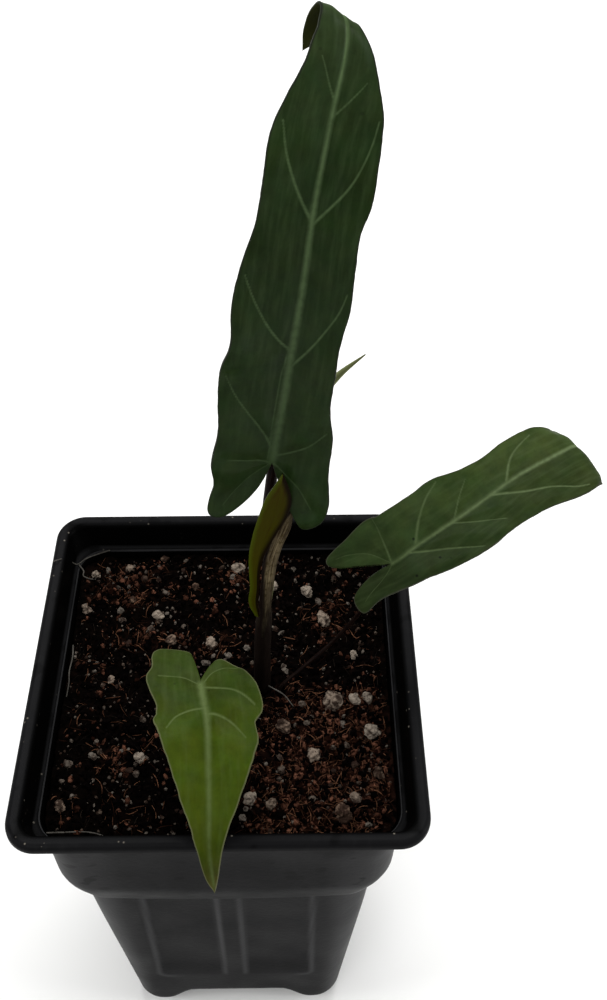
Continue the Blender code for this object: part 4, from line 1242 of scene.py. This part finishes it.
# %% [markdown]
# Leaf finishes
#
# A living leaf has a waxy skin over green tissue. The skin gives a soft, broad shine; the tissue
# gives the colour, which pools darker between the veins, pales over them and changes again in a
# thin line round the margin. Very faint strokes run the way the tissue grew. The underside is
# duller and more even.

# %% Leaf finish
# Pattern sizes in millimetres. A real leaf's cells are far finer than the 0.8 mm grain of its skin
# here, and would not show.
TISSUE_MM, HUE_PATCH_MM, VEIN_BREAK_MM, LEAF_SPECK_MM, SKIN_MM = 4.2, 6.5, 1.4, 5.5, 0.8
# How a pattern is drawn out along a leaf: its scale along the leaf, across it and between halves.
TISSUE_STROKE = (0.10, 0.8, 1.0)
# Stations past the tip, for a leaf without a rolled margin.
NOT_ROLLED = (200, 201)


def tissue_colour(tree, place, along, half, tissue, half_shade):
    """The green of the tissue: blended from station to station, clouded in value and in hue, with painted
    shade on one half.
    """
    base = add(tree, "RGB")
    base.default_value = linear(tissue[0][1])
    for (before, _), (station, colour) in zip(tissue, tissue[1:]):
        base = paint(tree, base, (add(tree, "MapRange", [along, before, station, 0.0, 1.0]), colour))
    cloud = add(tree, "TexNoise", {"Vector": place, "Scale": per_metre(TISSUE_MM), "Detail": 6.0,
                                   "Roughness": 0.66})
    value = add(tree, "MapRange", [cloud, 0.3, 0.7, 0.76, 1.24])
    # Painted shade: the second half's value is multiplied by this factor, as if turned from the light.
    side = add(tree, "MapRange", [half, 0.0, 1.0, 1.0, half_shade])
    value = add(tree, "Math", [value, side], operation="MULTIPLY")
    patch = add(tree, "TexNoise", {"Vector": place, "Scale": per_metre(HUE_PATCH_MM), "Detail": 5.0,
                                   "Roughness": 0.6, "Distortion": 0.4})
    hue = add(tree, "MapRange", [patch, 0.32, 0.68, 0.486, 0.514])
    return add(tree, "HueSaturation", {"Color": base, "Hue": hue, "Value": value})


def leaf_finish(name, tissue, vein, edge, edge_mm, specks, specular, roughness=0.42, half_shade=1.0,
                rolled=NOT_ROLLED):
    """The upper face of a leaf. Its tissue is given as stations along the leaf with the colour there.

    The veins have two colours, at the stalk and at the tip. The second half can get painted shade,
    with a margin that is rolled under from one station to another.
    """
    finish, tree, shader = new_finish(name, tissue[0][1], roughness, specular)
    place = add(tree, "TexCoord", out="Object")
    plan = add(tree, "Attribute", out="Vector", attribute_name="flat")
    along = add(tree, "SeparateXYZ", [plan], "X")
    half = add(tree, "MapRange", [add(tree, "SeparateXYZ", [plan], "Z"), -0.3, 0.3, 0.0, 1.0])
    base = tissue_colour(tree, place, along, half, tissue, half_shade)

    far = add(tree, "MapRange", [along, 0.0, tissue[-1][0], 0.0, 1.0])
    pale = paint(tree, vein[0], (far, vein[1]))
    drawn = add(tree, "Mapping", {"Vector": plan, "Scale": TISSUE_STROKE})
    stroke = add(tree, "TexNoise", {"Vector": drawn, "Scale": 1.0, "Detail": 4.0})
    faint = add(tree, "MapRange", [stroke, 0.45, 0.75, 0.0, 0.16])
    broken = add(tree, "TexNoise", {"Vector": place, "Scale": per_metre(VEIN_BREAK_MM), "Detail": 3.0})
    broken = add(tree, "MapRange", [broken, 0.3, 0.7, 0.74, 1.2])
    veins = add(tree, "Attribute", out="Fac", attribute_name="vein")
    line = add(tree, "Math", [veins, broken], operation="MULTIPLY")
    line = add(tree, "MapRange", [line, 0.12, 0.95, 0.0, 0.92])

    under = add(tree, "MapRange", [along, *rolled, 0.0, 1.0])
    under = add(tree, "Math", [under, half], operation="MULTIPLY")
    margin = add(tree, "Attribute", out="Fac", attribute_name="margin")
    margin = add(tree, "Math", [margin, under], operation="SUBTRACT")
    rim = add(tree, "MapRange", [margin, edge_mm, edge_mm * 0.35, 0.0, 0.8])
    dot = add(tree, "TexVoronoi", {"Vector": place, "Scale": per_metre(LEAF_SPECK_MM)})
    dot = add(tree, "MapRange", [dot, 0.075, 0.045, 0.0, specks])
    colour = paint(tree, base, (faint, pale), (line, pale), (rim, edge), (dot, "0a0c06"))

    skin = add(tree, "TexNoise", {"Vector": place, "Scale": per_metre(SKIN_MM), "Detail": 3.0})
    relief = add(tree, "Math", [stroke, skin], operation="ADD")
    apply(tree, shader, colour, relief, 0.14, 0.2)
    gloss = add(tree, "MapRange", [skin, 0.3, 0.7, roughness - 0.05, roughness + 0.07])
    tree.links.new(gloss, shader.inputs["Roughness"])
    return finish


print("leaf finish defined")


# %% Underside and stalk finishes
# A stalk's mottle: its scale along the stalk and round it, and how much finer its freckles are.
UNDERSIDE_CLOUD_MM = 9
STALK_STROKE = (0.35, 1.6, 1.0)
FRECKLES_FINER = 3.2


def underside_finish(name, deep, fresh, vein):
    """The lower face of a leaf: dull and even, with its veins standing out faintly."""
    finish, tree, shader = new_finish(name, deep, 0.6, 0.06)
    place = add(tree, "TexCoord", out="Object")
    cloud = add(tree, "TexNoise", {"Vector": place, "Scale": per_metre(UNDERSIDE_CLOUD_MM), "Detail": 3.0})
    line = add(tree, "Attribute", out="Fac", attribute_name="vein")
    line = add(tree, "MapRange", [line, 0.1, 0.9, 0.0, 0.7])
    skin = add(tree, "TexNoise", {"Vector": place, "Scale": per_metre(SKIN_MM), "Detail": 2.0})
    apply(tree, shader, paint(tree, deep, (cloud, fresh), (line, vein)), skin, 0.2, 0.2)
    return finish


def stalk_finish(name, dark, light, freckle):
    """A stalk's skin: waxy, mottled in short strokes along its length."""
    finish, tree, shader = new_finish(name, dark, 0.38, 0.03)
    plan = add(tree, "Attribute", out="Vector", attribute_name="flat")
    drawn = add(tree, "Mapping", {"Vector": plan, "Scale": STALK_STROKE})
    mottle = add(tree, "TexNoise", {"Vector": drawn, "Scale": 1.0, "Detail": 4.0})
    tone = add(tree, "MapRange", [mottle, 0.35, 0.68, 0.0, 1.0])
    spot = add(tree, "TexNoise", {"Vector": drawn, "Scale": FRECKLES_FINER, "Detail": 1.0})
    spot = add(tree, "MapRange", [spot, 0.6, 0.7, 0.0, 0.6])
    apply(tree, shader, paint(tree, dark, (tone, light), (spot, freckle)), mottle, 0.25, 0.2)
    return finish


print("underside and stalk finishes defined")

# %% [markdown]
# The tall leaf
#
# The oldest leaf stands almost upright and faces the camera. It is the darkest, widest about where
# its stalk joins, waved along both margins, and its tip rolls over backwards, so that a sliver of
# the underside shows. A pale midrib runs the whole length with slanting side veins in pairs, and
# each lobe at the foot has a vein of its own.

# %% Tall leaf
# Spine rows: a place, the direction across the blade there, and the left and right fold in degrees.
# Plan rows: the root's station, then a station and a half-width on the left and on the right margin.
# A vein: its plan points, then its half-width at the start and at the end.
TALL_SPINE = (
    (9.2, -1.0, 169.5, 1.00, 0.00, 0.00, 12, 12), (12.2, 0.0, 187.8, 1.00, 0.00, 0.00, 12, 12),
    (15.2, -0.3, 208.0, 1.00, 0.00, 0.00, 12, 12), (18.2, -0.2, 231.0, 1.00, 0.00, 0.00, 12, 12),
    (20.4, 2.0, 249.0, 1.00, 0.00, 0.00, 12, 12), (23.0, 4.2, 263.0, 1.00, 0.00, 0.00, 12, 10),
    (25.3, 6.4, 273.9, 0.95, 0.05, -0.30, 8, -4), (25.6, 8.6, 279.3, 0.90, 0.10, -0.39, -2, -30),
    (23.8, 11.2, 279.2, 0.83, 0.10, -0.50, -4, -16), (17.5, 12.6, 271.5, 0.79, 0.10, -0.58, 2, 0))
TALL_ROWS = (
    (0.0, -1.2, 0.37, -1.1, 0.5), (0.0, -4.5, 1.5, -4.5, 2.2), (0.0, -10.0, 3.5, -9.9, 5.1),
    (0.0, -15.0, 8.0, -16.4, 8.8), (0.0, -13.8, 11.6, -13.6, 12.5), (0.0, -6.3, 11.3, -6.5, 12.8),
    (0.0, 1.5, 12.6, 0.5, 11.6), (5.0, 10.4, 12.2, 9.5, 10.9), (12.0, 18.5, 13.1, 17.0, 9.2),
    (20.0, 26.0, 13.3, 25.9, 8.6), (28.0, 34.0, 12.1, 34.0, 8.5), (36.0, 42.0, 12.6, 42.0, 9.1),
    (44.0, 50.0, 11.7, 50.0, 8.8), (52.0, 58.0, 9.9, 57.5, 8.6), (60.0, 66.0, 9.7, 65.0, 9.7),
    (68.0, 74.0, 9.9, 73.0, 9.2), (76.0, 81.0, 8.3, 80.0, 8.1), (84.0, 86.2, 6.8, 85.6, 5.8),
    (88.4, 90.2, 6.0, 89.4, 4.3), (92.0, 93.4, 5.1, 92.6, 2.8), (95.5, 96.5, 4.5, 96.0, 2.0),
    (99.0, 99.6, 3.7, 99.4, 1.5), (102.6, 102.9, 2.2, 102.9, 0.9), (105.8, 105.9, 0.0, 105.9, 0.0))
TALL_VEINS = (
    (((0, 0), (30, -0.2), (60, 0), (85, -0.2), (104, 0)), 0.95, 0.30),
    (((0, -1.1), (12, -1.5), (24, -1.5), (31, -0.9), (36, -0.3)), 0.22, 0.16),
    (((58.7, -0.2), (63.3, -2.9), (67.6, -5.1), (71.6, -6.8), (76.5, -8.2)), 0.34, 0.20),
    (((58.4, 0.4), (61.9, 2.8), (66.3, 5.3), (70.5, 6.7), (74.5, 7.4), (79.0, 7.6)), 0.34, 0.18),
    (((31.0, -1.0), (34.0, -3.6), (38.4, -6.4), (43.6, -9.0), (48.0, -10.8)), 0.30, 0.20),
    (((26.9, 0.4), (31.5, 2.9), (36.6, 5.3), (41.2, 7.1), (45.5, 8.0)), 0.34, 0.20),
    (((4.6, -0.9), (8.5, -2.8), (13.0, -5.6), (19.5, -9.9), (24.0, -12.0)), 0.30, 0.18),
    (((2.2, 0.2), (4.0, 3.2), (6.6, 6.3), (11.2, 9.4)), 0.34, 0.18),
    (((0, -0.3), (1.0, -3.0), (1.4, -6.2), (2.4, -10.4)), 0.34, 0.18),
    (((0, 0.3), (-2.4, 3.3), (-5.2, 6.6), (-9.6, 9.6)), 0.36, 0.2),
    (((0, -0.3), (-3.4, -4.0), (-8.0, -6.8), (-12.0, -8.6)), 0.24, 0.16),
    (((80.0, -0.1), (84.0, -2.2), (88.0, -4.0)), 0.22, 0.14),
    (((78.0, 0.1), (81.5, 2.4), (84.5, 4.2)), 0.22, 0.14))
TALL_STALK = (
    (8.6, 0.2, 98.0, 1.3), (8.6, 0.2, 110.0, 1.35), (8.9, 0.1, 129.0, 1.4), (10.0, 0.1, 144.0, 1.4),
    (11.2, 0.3, 159.0, 1.4), (11.0, 1.0, 170.0, 1.35), (11.8, 1.7, 180.0, 1.2), (12.6, 1.8, 188.0, 1.0),
    (14.2, 1.15, 201.0, 0.8), (16.6, 0.95, 218.0, 0.7), (18.3, 0.95, 231.0, 0.6),
    (20.2, 3.05, 247.5, 0.5), (22.6, 5.15, 261.8, 0.4))

dark_under = underside_finish("dark_leaf_underside", "131509", "34380f", "2c2f1a")
TALL_TISSUE = ((-14, "1b290f"), (-2, "17250b"), (50, "16240a"), (72, "1a290d"), (92, "26341a"))
tall_top = leaf_finish("dark_waxy_leaf_skin", TALL_TISSUE, ("36462a", "566a45"), "1f211b",
                       edge_mm=0.35, specks=0.3, specular=0.06)
# A wave: its size at the wave reach, its pitch in millimetres and its phase.
TALL_WAVES = ((0.9, 31.0, 0.5), (0.4, 17.0, 1.9))
tall_blade = make_blade("tall_blade", TALL_SPINE, TALL_ROWS, (17, 40), TALL_VEINS, TALL_WAVES,
                        (tall_top, dark_under), quilt=0.5, ripple=0.05)
maroon = stalk_finish("maroon_stalk_skin", "080404", "190f0b", "241710")
tall_stalk = tube("tall_stalk", TALL_STALK, 20, maroon, 10, 0.02)
for piece in (tall_blade, tall_stalk):
    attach(piece, "root")
    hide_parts("leaf_tall")

# %% [markdown]
# The right leaf
#
# The second leaf leans out over the rim on a thin dark stalk. It is a deep green that pales towards
# the tip, with a lighter midrib. Its surface is pulled into soft quilts between the veins, its half
# nearer to the camera gets painted shade, and there its margin is rolled under near the tip.

# %% Right leaf
RIGHT_SPINE = (
    (25.0, 2.0, 144.0, 0.39, -0.84, -0.38, 10, 10), (38.4, 5.7, 149.0, 0.39, -0.84, -0.38, 10, 10),
    (44.2, 9.1, 151.0, 0.39, -0.84, -0.38, 10, 10), (56.0, 17.0, 153.0, 0.39, -0.84, -0.38, 10, 10),
    (68.7, 27.2, 153.5, 0.38, -0.85, -0.38, 8, 10), (80.2, 35.4, 152.5, 0.38, -0.85, -0.38, -4, 8),
    (84.2, 38.2, 152.0, 0.38, -0.85, -0.38, -22, 8), (86.1, 39.8, 150.8, 0.38, -0.85, -0.38, -26, 8),
    (86.2, 40.8, 148.8, 0.38, -0.85, -0.38, -26, 6), (84.9, 40.8, 147.2, 0.38, -0.85, -0.38, -24, 4),
    (81.6, 39.7, 145.2, 0.38, -0.85, -0.38, -20, 2))
RIGHT_ROWS = (
    (0.0, -1.3, 0.48, -1.2, 0.17), (0.0, -6.6, 2.45, -6.5, 0.95), (0.0, -12.6, 4.7, -10.9, 3.8),
    (0.0, -13.1, 7.0, -10.1, 7.7), (0.0, -8.0, 9.1, -5.4, 6.5), (0.0, -1.5, 11.2, 0.7, 6.8),
    (3.0, 5.6, 10.3, 6.0, 8.1), (9.0, 12.5, 10.3, 13.0, 9.4), (15.0, 18.6, 10.7, 20.0, 10.1),
    (22.0, 26.0, 8.8, 27.0, 9.7), (29.0, 33.0, 8.0, 34.0, 10.1), (36.0, 40.0, 8.6, 40.5, 10.7),
    (42.5, 46.0, 8.8, 47.0, 11.7), (47.0, 50.4, 8.6, 52.0, 11.8), (51.5, 54.4, 7.4, 55.4, 11.6),
    (55.5, 57.6, 6.2, 58.2, 11.3), (59.0, 60.3, 5.2, 60.6, 11.0), (62.0, 62.9, 4.0, 63.2, 9.6),
    (65.0, 65.6, 2.2, 66.2, 5.0), (67.6, 67.7, 0.0, 67.7, 0.0))
RIGHT_VEINS = (
    (((0, 0), (15, 0), (30, 0.1), (45, 0), (56, 0), (67, 0)), 0.60, 0.5),
    (((6.8, -0.3), (10.6, -4.4), (14.9, -7.6), (19.5, -9.6)), 0.42, 0.2),
    (((35.2, -0.4), (39.1, -4.0), (42.9, -5.8), (48.2, -7.2)), 0.42, 0.2),
    (((4.5, 0.3), (7.6, 2.2), (13.2, 5.2), (19.0, 8.9)), 0.42, 0.2),
    (((29.6, 0.3), (36.9, 4.1), (44.3, 6.6), (50.2, 9.3), (54.0, 10.2)), 0.42, 0.2),
    (((0, -0.2), (0.4, -3.4), (1.0, -7.9), (1.3, -10.8)), 0.4, 0.2),
    (((0, -0.2), (-4.0, -4.2), (-8.6, -5.9), (-11.2, -6.1)), 0.2, 0.1),
    (((0, 0.2), (-3.2, 2.4), (-6.9, 4.2), (-8.8, 5.4)), 0.2, 0.1),
    (((18.0, -0.3), (22.0, -3.6), (26.0, -6.2)), 0.26, 0.16),
    (((17.0, 0.3), (22.0, 3.4), (28.0, 6.8)), 0.26, 0.16))
RIGHT_STALK = (
    (12.7, -1.6, 100.0, 0.5), (12.7, -1.6, 107.5, 0.5), (13.0, -1.6, 112.2, 0.48),
    (17.0, 0.9, 114.6, 0.46), (25.2, 5.3, 119.8, 0.48), (31.7, 5.8, 131.0, 0.5), (35.8, 5.9, 142.0, 0.52),
    (38.7, 6.4, 147.2, 0.5), (44.4, 9.6, 149.8, 0.42), (56.1, 17.4, 151.9, 0.38),
    (68.8, 27.5, 152.4, 0.30), (80.0, 35.4, 151.6, 0.22))

green_under = underside_finish("green_leaf_underside", "171c0c", "20260f", "2c331a")
RIGHT_TISSUE = ((-12, "212d13"), (2, "263318"), (25, "2b3919"), (52, "313e1c"))
# Painted shade: the half nearer to the camera is made darker.
right_top = leaf_finish("mid_green_leaf_skin", RIGHT_TISSUE, ("465434", "5c6a48"), "34362a",
                        edge_mm=0.3, specks=0.8, specular=0.03, roughness=0.48, half_shade=0.66,
                        rolled=(55.0, 60.0))
RIGHT_WAVES = ((0.8, 24.0, 0.2),)
right_blade = make_blade("right_blade", RIGHT_SPINE, RIGHT_ROWS, (18, 36), RIGHT_VEINS, RIGHT_WAVES,
                         (right_top, green_under), quilt=0.6, ripple=0.04)
right_stalk = tube("right_stalk", RIGHT_STALK, 16, maroon, 10, 0.02)
for piece in (right_blade, right_stalk):
    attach(piece, "root")
    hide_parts("leaf_right")

# %% [markdown]
# The front leaf
#
# The youngest open leaf is small, arrow-shaped and the freshest green, turning olive brown at its
# tip. It arches over the front rim and hangs the tip down the outside. Its margin is a clear pale
# line all round.

# %% Front leaf
def facing(across, rows):
    """Spine rows whose blade lies the same way throughout: the direction goes in after the place."""
    return [(*row[:3], *across, *row[3:]) for row in rows]


FRONT_SPINE = facing((-1.0, 0.0, 0.0), (
    (-5.6, 2.0, 126.0, 10, 10), (-4.6, -12.0, 129.5, 10, 10), (-2.8, -21.5, 130.4, 10, 10),
    (-2.1, -31.0, 129.6, 10, 10), (-1.6, -40.0, 127.6, 12, 12), (-1.3, -47.2, 122.6, 14, 14),
    (-0.5, -50.7, 111.2, 14, 14)))
FRONT_ROWS = (
    (-0.9, -1.9, 0.56, -1.9, 0.24), (-0.9, -4.1, 1.76, -4.1, 0.77), (-0.8, -6.5, 3.4, -8.5, 1.9),
    (-0.6, -6.9, 4.6, -10.0, 2.6), (-0.4, -6.4, 5.6, -10.5, 4.4), (-0.2, -5.0, 6.9, -10.6, 7.0),
    (0.0, -3.2, 8.5, -10.3, 9.6), (0.0, -1.5, 10.0, -8.0, 11.0), (0.0, 0.8, 11.0, -4.0, 11.0),
    (1.5, 2.8, 11.7, -1.1, 12.2), (3.5, 5.5, 12.4, 1.4, 11.4), (6.0, 8.4, 12.8, 4.2, 10.5),
    (8.0, 10.1, 12.2, 6.5, 10.7), (10.0, 12.0, 10.6, 8.8, 11.5), (12.0, 14.6, 11.0, 12.0, 10.7),
    (14.5, 16.8, 10.9, 15.0, 9.8), (17.5, 20.1, 9.7, 18.5, 8.6), (21.5, 24.2, 8.1, 22.6, 7.3),
    (26.0, 28.8, 6.0, 28.0, 5.5), (31.0, 33.0, 4.1, 33.0, 3.7), (36.0, 37.8, 2.5, 37.6, 2.4),
    (42.5, 44.0, 1.2, 44.2, 1.4), (48.4, 48.6, 0.0, 48.6, 0.0))
FRONT_VEINS = (
    (((0, 0), (12, -0.1), (24, -0.1), (36, 0), (47, 0)), 1.05, 0.4),
    (((6.6, 0.2), (6.9, 3.5), (8.4, 6.6), (11.6, 8.8)), 0.42, 0.24),
    (((8.0, -0.2), (8.9, -2.3), (11.2, -5.3), (15.0, -8.4)), 0.42, 0.26),
    (((0.8, -0.2), (2.2, -3.4), (4.4, -7.2), (8.6, -10.9)), 0.38, 0.28),
    (((0, 0.2), (-1.4, 3.2), (-1.8, 6.0), (-1.7, 9.4)), 0.28, 0.18),
    (((-0.4, -0.8), (-2.6, -2.6), (-3.6, -5.4), (-2.4, -8.6)), 0.26, 0.16))
FRONT_STALK = (
    (4.4, -2.4, 100.0, 0.75), (4.4, -2.4, 111.0, 0.8), (3.4, -2.6, 119.0, 0.8), (-0.6, -4.0, 124.0, 0.7),
    (-3.6, -10.0, 127.4, 0.6), (-3.0, -20.0, 129.0, 0.5), (-2.2, -30.0, 128.5, 0.4),
    (-1.7, -39.4, 126.8, 0.3))

FRONT_TISSUE = ((-6, "2a370f"), (4, "2b380d"), (14, "34430b"), (30, "35430a"), (42, "2f3402"),
                (47, "3c3810"))
front_top = leaf_finish("fresh_green_leaf_skin", FRONT_TISSUE, ("55633a", "4f5d2c"), "5a5c40",
                        edge_mm=0.32, specks=0.3, specular=0.03)
FRONT_WAVES = ((0.7, 19.0, 1.1),)
front_blade = make_blade("front_blade", FRONT_SPINE, FRONT_ROWS, (11, 36), FRONT_VEINS, FRONT_WAVES,
                         (front_top, green_under), quilt=0.5, ripple=0.10)
front_stalk_skin = stalk_finish("young_stalk_skin", "0e0b07", "232410", "1a120e")
front_stalk = tube("front_stalk", FRONT_STALK, 16, front_stalk_skin, 10, 0.02)
for piece in (front_blade, front_stalk):
    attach(piece, "root")
    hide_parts("leaf_front")

# %% [markdown]
# Sheaths
#
# Each new leaf comes out of a sheath. The fresh one is olive, with a painted highlight along its
# left edge and painted shade along its right edge, and blotched with brown towards its tip. The
# older one has dried to brown paper: it still wraps the stalk's foot as a tube and opens further
# up. Both are narrow blades, curled across like a gutter.

# %% Sheath shapes
GREEN_SPINE = facing((1.0, 0.1, 0.0), (
    (8.4, -2.98, 141.6, -20, -10), (7.9, -3.28, 147.0, -26, -10), (8.3, -3.58, 152.5, -28, -10),
    (8.5, -3.68, 158.0, -28, -10), (9.1, -3.78, 163.6, -26, -10), (10.6, -3.78, 169.2, -22, -10),
    (12.3, -3.58, 175.2, -16, -10), (13.5, -3.18, 181.0, -8, -6), (14.4, -2.68, 187.8, 0, 0)))
GREEN_ROWS = (
    (0.0, 0.3, 0.6, 0.2, 0.3), (5.0, 4.4, 1.5, 4.8, 0.5), (11.0, 10.6, 1.5, 11.0, 0.5),
    (17.0, 16.6, 1.8, 17.0, 0.7), (23.0, 22.8, 2.3, 23.0, 1.2), (29.0, 29.0, 2.9, 29.0, 1.9),
    (35.0, 35.2, 3.0, 35.0, 2.8), (40.0, 40.2, 2.4, 40.0, 2.6), (46.8, 46.9, 0.0, 46.9, 0.0))
DRY_SPINE = facing((1.0, 0.1, 0.0), (
    (9.3, -1.8, 132.0, -30, -40), (9.9, -2.0, 141.0, -14, -38), (10.4, -2.2, 149.4, -6, -34),
    (11.0, -2.3, 157.3, 0, -30), (12.2, -2.2, 163.7, 0, -24), (14.1, -2.1, 170.0, 0, -16),
    (16.4, -1.8, 176.8, 0, -8)))
DRY_ROWS = (
    (0.0, 0.2, 1.2, 0.2, 1.2), (9.0, 9.0, 1.1, 9.0, 1.5), (17.5, 17.5, 1.2, 17.5, 1.7),
    (25.5, 25.5, 1.5, 25.5, 2.0), (32.5, 32.5, 1.6, 32.0, 1.9), (39.5, 39.9, 1.5, 39.1, 1.7),
    (45.4, 45.5, 0.0, 45.5, 0.0))
SHEATH_FOOT = (
    (8.6, 0.2, 98.0, 1.9), (8.6, 0.2, 108.0, 2.0), (8.6, 0.2, 113.0, 2.05), (8.8, 0.1, 124.0, 1.95),
    (9.3, 0.1, 134.0, 1.9), (9.7, 0.1, 140.0, 1.7))
for sheath, rows in (("fresh", GREEN_ROWS), ("dry", DRY_ROWS)):
    print("%s sheath: %.0f mm long" % (sheath, rows[-1][0]))


# %% Sheath finishes
# How the grain of each sheath is drawn out along it and across it, and how much finer the
# paper's fibres are. Its blotches lie about a millimetre apart on the plan.
FRESH_STROKE, PAPER_STROKE = (0.18, 1.2, 1.0), (0.12, 2.0, 1.0)
PAPER_FINER, PAPER_BLOTCHES_PER_MM = 1.3, 0.9
# Heights between which the paper goes from its own brown to near black, darker towards its foot.
DARK_FOOT_GONE_M, DARK_FOOT_M = 0.156, 0.134


def fresh_sheath_finish():
    """Dark olive, brown towards the tip, with a painted highlight on its left margin and painted shade on
    its right.
    """
    finish, tree, shader = new_finish("fresh_olive_sheath", "2b2906", 0.42, 0.02)
    plan = add(tree, "Attribute", out="Vector", attribute_name="flat")
    drawn = add(tree, "Mapping", {"Vector": plan, "Scale": FRESH_STROKE})
    grain = add(tree, "TexNoise", {"Vector": drawn, "Scale": 1.0, "Detail": 4.0})
    along = add(tree, "SeparateXYZ", [plan], "X")
    high = add(tree, "MapRange", [along, 14.0, 44.0, -0.16, 0.08])
    brown = add(tree, "Math", [grain, high], operation="ADD")
    brown = add(tree, "MapRange", [brown, 0.52, 0.75, 0.0, 0.7])
    margin = add(tree, "Attribute", out="Fac", attribute_name="margin")
    half = add(tree, "SeparateXYZ", [plan], "Z")
    # Painted highlight along the left margin, and painted shade along the right one where the sheath folds.
    lit = add(tree, "Math", [add(tree, "MapRange", [margin, 1.1, 0.2, 0.0, 1.0]),
                             add(tree, "MapRange", [half, 0.2, -0.2, 0.0, 0.8])], operation="MULTIPLY")
    fold_shade = add(tree, "Math", [add(tree, "MapRange", [margin, 1.5, 0.5, 0.0, 0.95]),
                                add(tree, "MapRange", [half, -0.2, 0.2, 0.0, 1.0])], operation="MULTIPLY")
    colour = paint(tree, "2d2a02", (brown, "2a1b04"), (lit, "363f07"), (fold_shade, "0d0602"))
    apply(tree, shader, colour, grain, 0.3, 0.2)
    return finish


def dry_sheath_finish():
    """Dead sheath: brown paper with pinkish-grey fibres drawn lengthwise, darker towards its foot; painted
    shade on its margins.
    """
    finish, tree, shader = new_finish("dry_papery_sheath", "261812", 0.72, 0.05)
    plan = add(tree, "Attribute", out="Vector", attribute_name="flat")
    drawn = add(tree, "Mapping", {"Vector": plan, "Scale": PAPER_STROKE})
    fibre = add(tree, "TexNoise", {"Vector": drawn, "Scale": PAPER_FINER, "Detail": 5.0})
    tone = add(tree, "MapRange", [fibre, 0.35, 0.7, 0.0, 1.0])
    blotch = add(tree, "TexNoise", {"Vector": plan, "Scale": PAPER_BLOTCHES_PER_MM, "Detail": 3.0})
    blotch = add(tree, "MapRange", [blotch, 0.5, 0.66, 0.0, 0.7])
    height = add(tree, "SeparateXYZ", [add(tree, "TexCoord", out="Object")], "Z")
    low = add(tree, "MapRange", [height, DARK_FOOT_GONE_M, DARK_FOOT_M, 0.0, 0.95])
    # Painted shade along the margins, where the paper folds, stronger on one half.
    edge = add(tree, "Attribute", out="Fac", attribute_name="margin")
    edge = add(tree, "MapRange", [edge, 1.0, 0.4, 0.0, 1.0])
    dark = add(tree, "MapRange", [add(tree, "SeparateXYZ", [plan], "Z"), -0.3, 0.3, 0.95, 0.45])
    edge = add(tree, "Math", [edge, dark], operation="MULTIPLY")
    colour = paint(tree, "22180c", (tone, "6c6048"), (blotch, "2a2206"), (low, "060302"), (edge, "0f0806"))
    apply(tree, shader, colour, fibre, 0.7, 0.3)
    return finish


print("sheath finishes defined")


# %% Sheath pieces
fresh = fresh_sheath_finish()
papery = dry_sheath_finish()
green_sheath = make_blade("green_sheath_blade", GREEN_SPINE, GREEN_ROWS, (14, 14), (), (),
                          (fresh, fresh), start=0, thick=0.35, quilt=0.0)
dry_sheath = make_blade("dry_sheath_blade", DRY_SPINE, DRY_ROWS, (14, 12), (), (),
                        (papery, papery), start=0, thick=0.3, quilt=0.0)
dry_foot = tube("dry_sheath_foot", SHEATH_FOOT, 28, papery, 12, 0.03)
SHEATH_PIECES = ((green_sheath, "green_sheath", "fresh_sheath"), (dry_sheath, "dry_sheath", "dry_sheath"),
                 (dry_foot, "dry_sheath", "dry_sheath"))
for piece, node_name, slot_name in SHEATH_PIECES:
    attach(piece, "root")
    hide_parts(node_name)

# %% [markdown]
# The new leaf
#
# Behind the tall leaf the next one is still rolled up like a quill. Only its tip shows past the
# tall leaf's margin from the front: olive green, drawn out to a dark point.

# %% New leaf
NEW_LEAF = (
    (10.4, 1.95, 138.4, 0.6), (11.1, 2.45, 146.5, 0.8), (12.0, 3.6, 160.0, 0.8), (13.6, 5.2, 173.0, 0.8),
    (16.6, 6.4, 184.0, 0.85), (20.4, 7.4, 195.5, 1.0), (22.9, 7.8, 200.6, 1.0), (26.1, 8.0, 204.9, 0.62),
    (30.6, 8.0, 209.6, 0.12))
# Distances along the leaf between which it turns brown.
BROWN_TIP_FROM = (72.0, 80.0)
# The overlap's lines: how they are drawn out along the leaf and round it, and how fine they are.
ROLL_STROKE, ROLL_FINENESS = (0.1, 1.6, 1.0), 1.4


def spear_finish():
    """Rolled tissue: olive green, the roll's overlap as fine lengthwise lines, brown at the tip."""
    finish, tree, shader = new_finish("rolled_new_leaf", "3c4222", 0.45, 0.06)
    plan = add(tree, "Attribute", out="Vector", attribute_name="flat")
    drawn = add(tree, "Mapping", {"Vector": plan, "Scale": ROLL_STROKE})
    line = add(tree, "TexNoise", {"Vector": drawn, "Scale": ROLL_FINENESS, "Detail": 4.0})
    tip = add(tree, "MapRange", [add(tree, "SeparateXYZ", [plan], "X"), *BROWN_TIP_FROM, 0.0, 0.6])
    apply(tree, shader, paint(tree, "343c18", (line, "7d8258"), (tip, "2e2a18")), line, 0.4, 0.2)
    return finish


spear = tube("rolled_leaf", NEW_LEAF, 18, spear_finish(), 10, 0.05)
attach(spear, "root")
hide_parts("new_leaf")
print("new leaf made")

# %% [markdown]
# Last update
#
# After all the pieces are made, the scene is updated once more.

# %% Last update
bpy.context.view_layer.update()
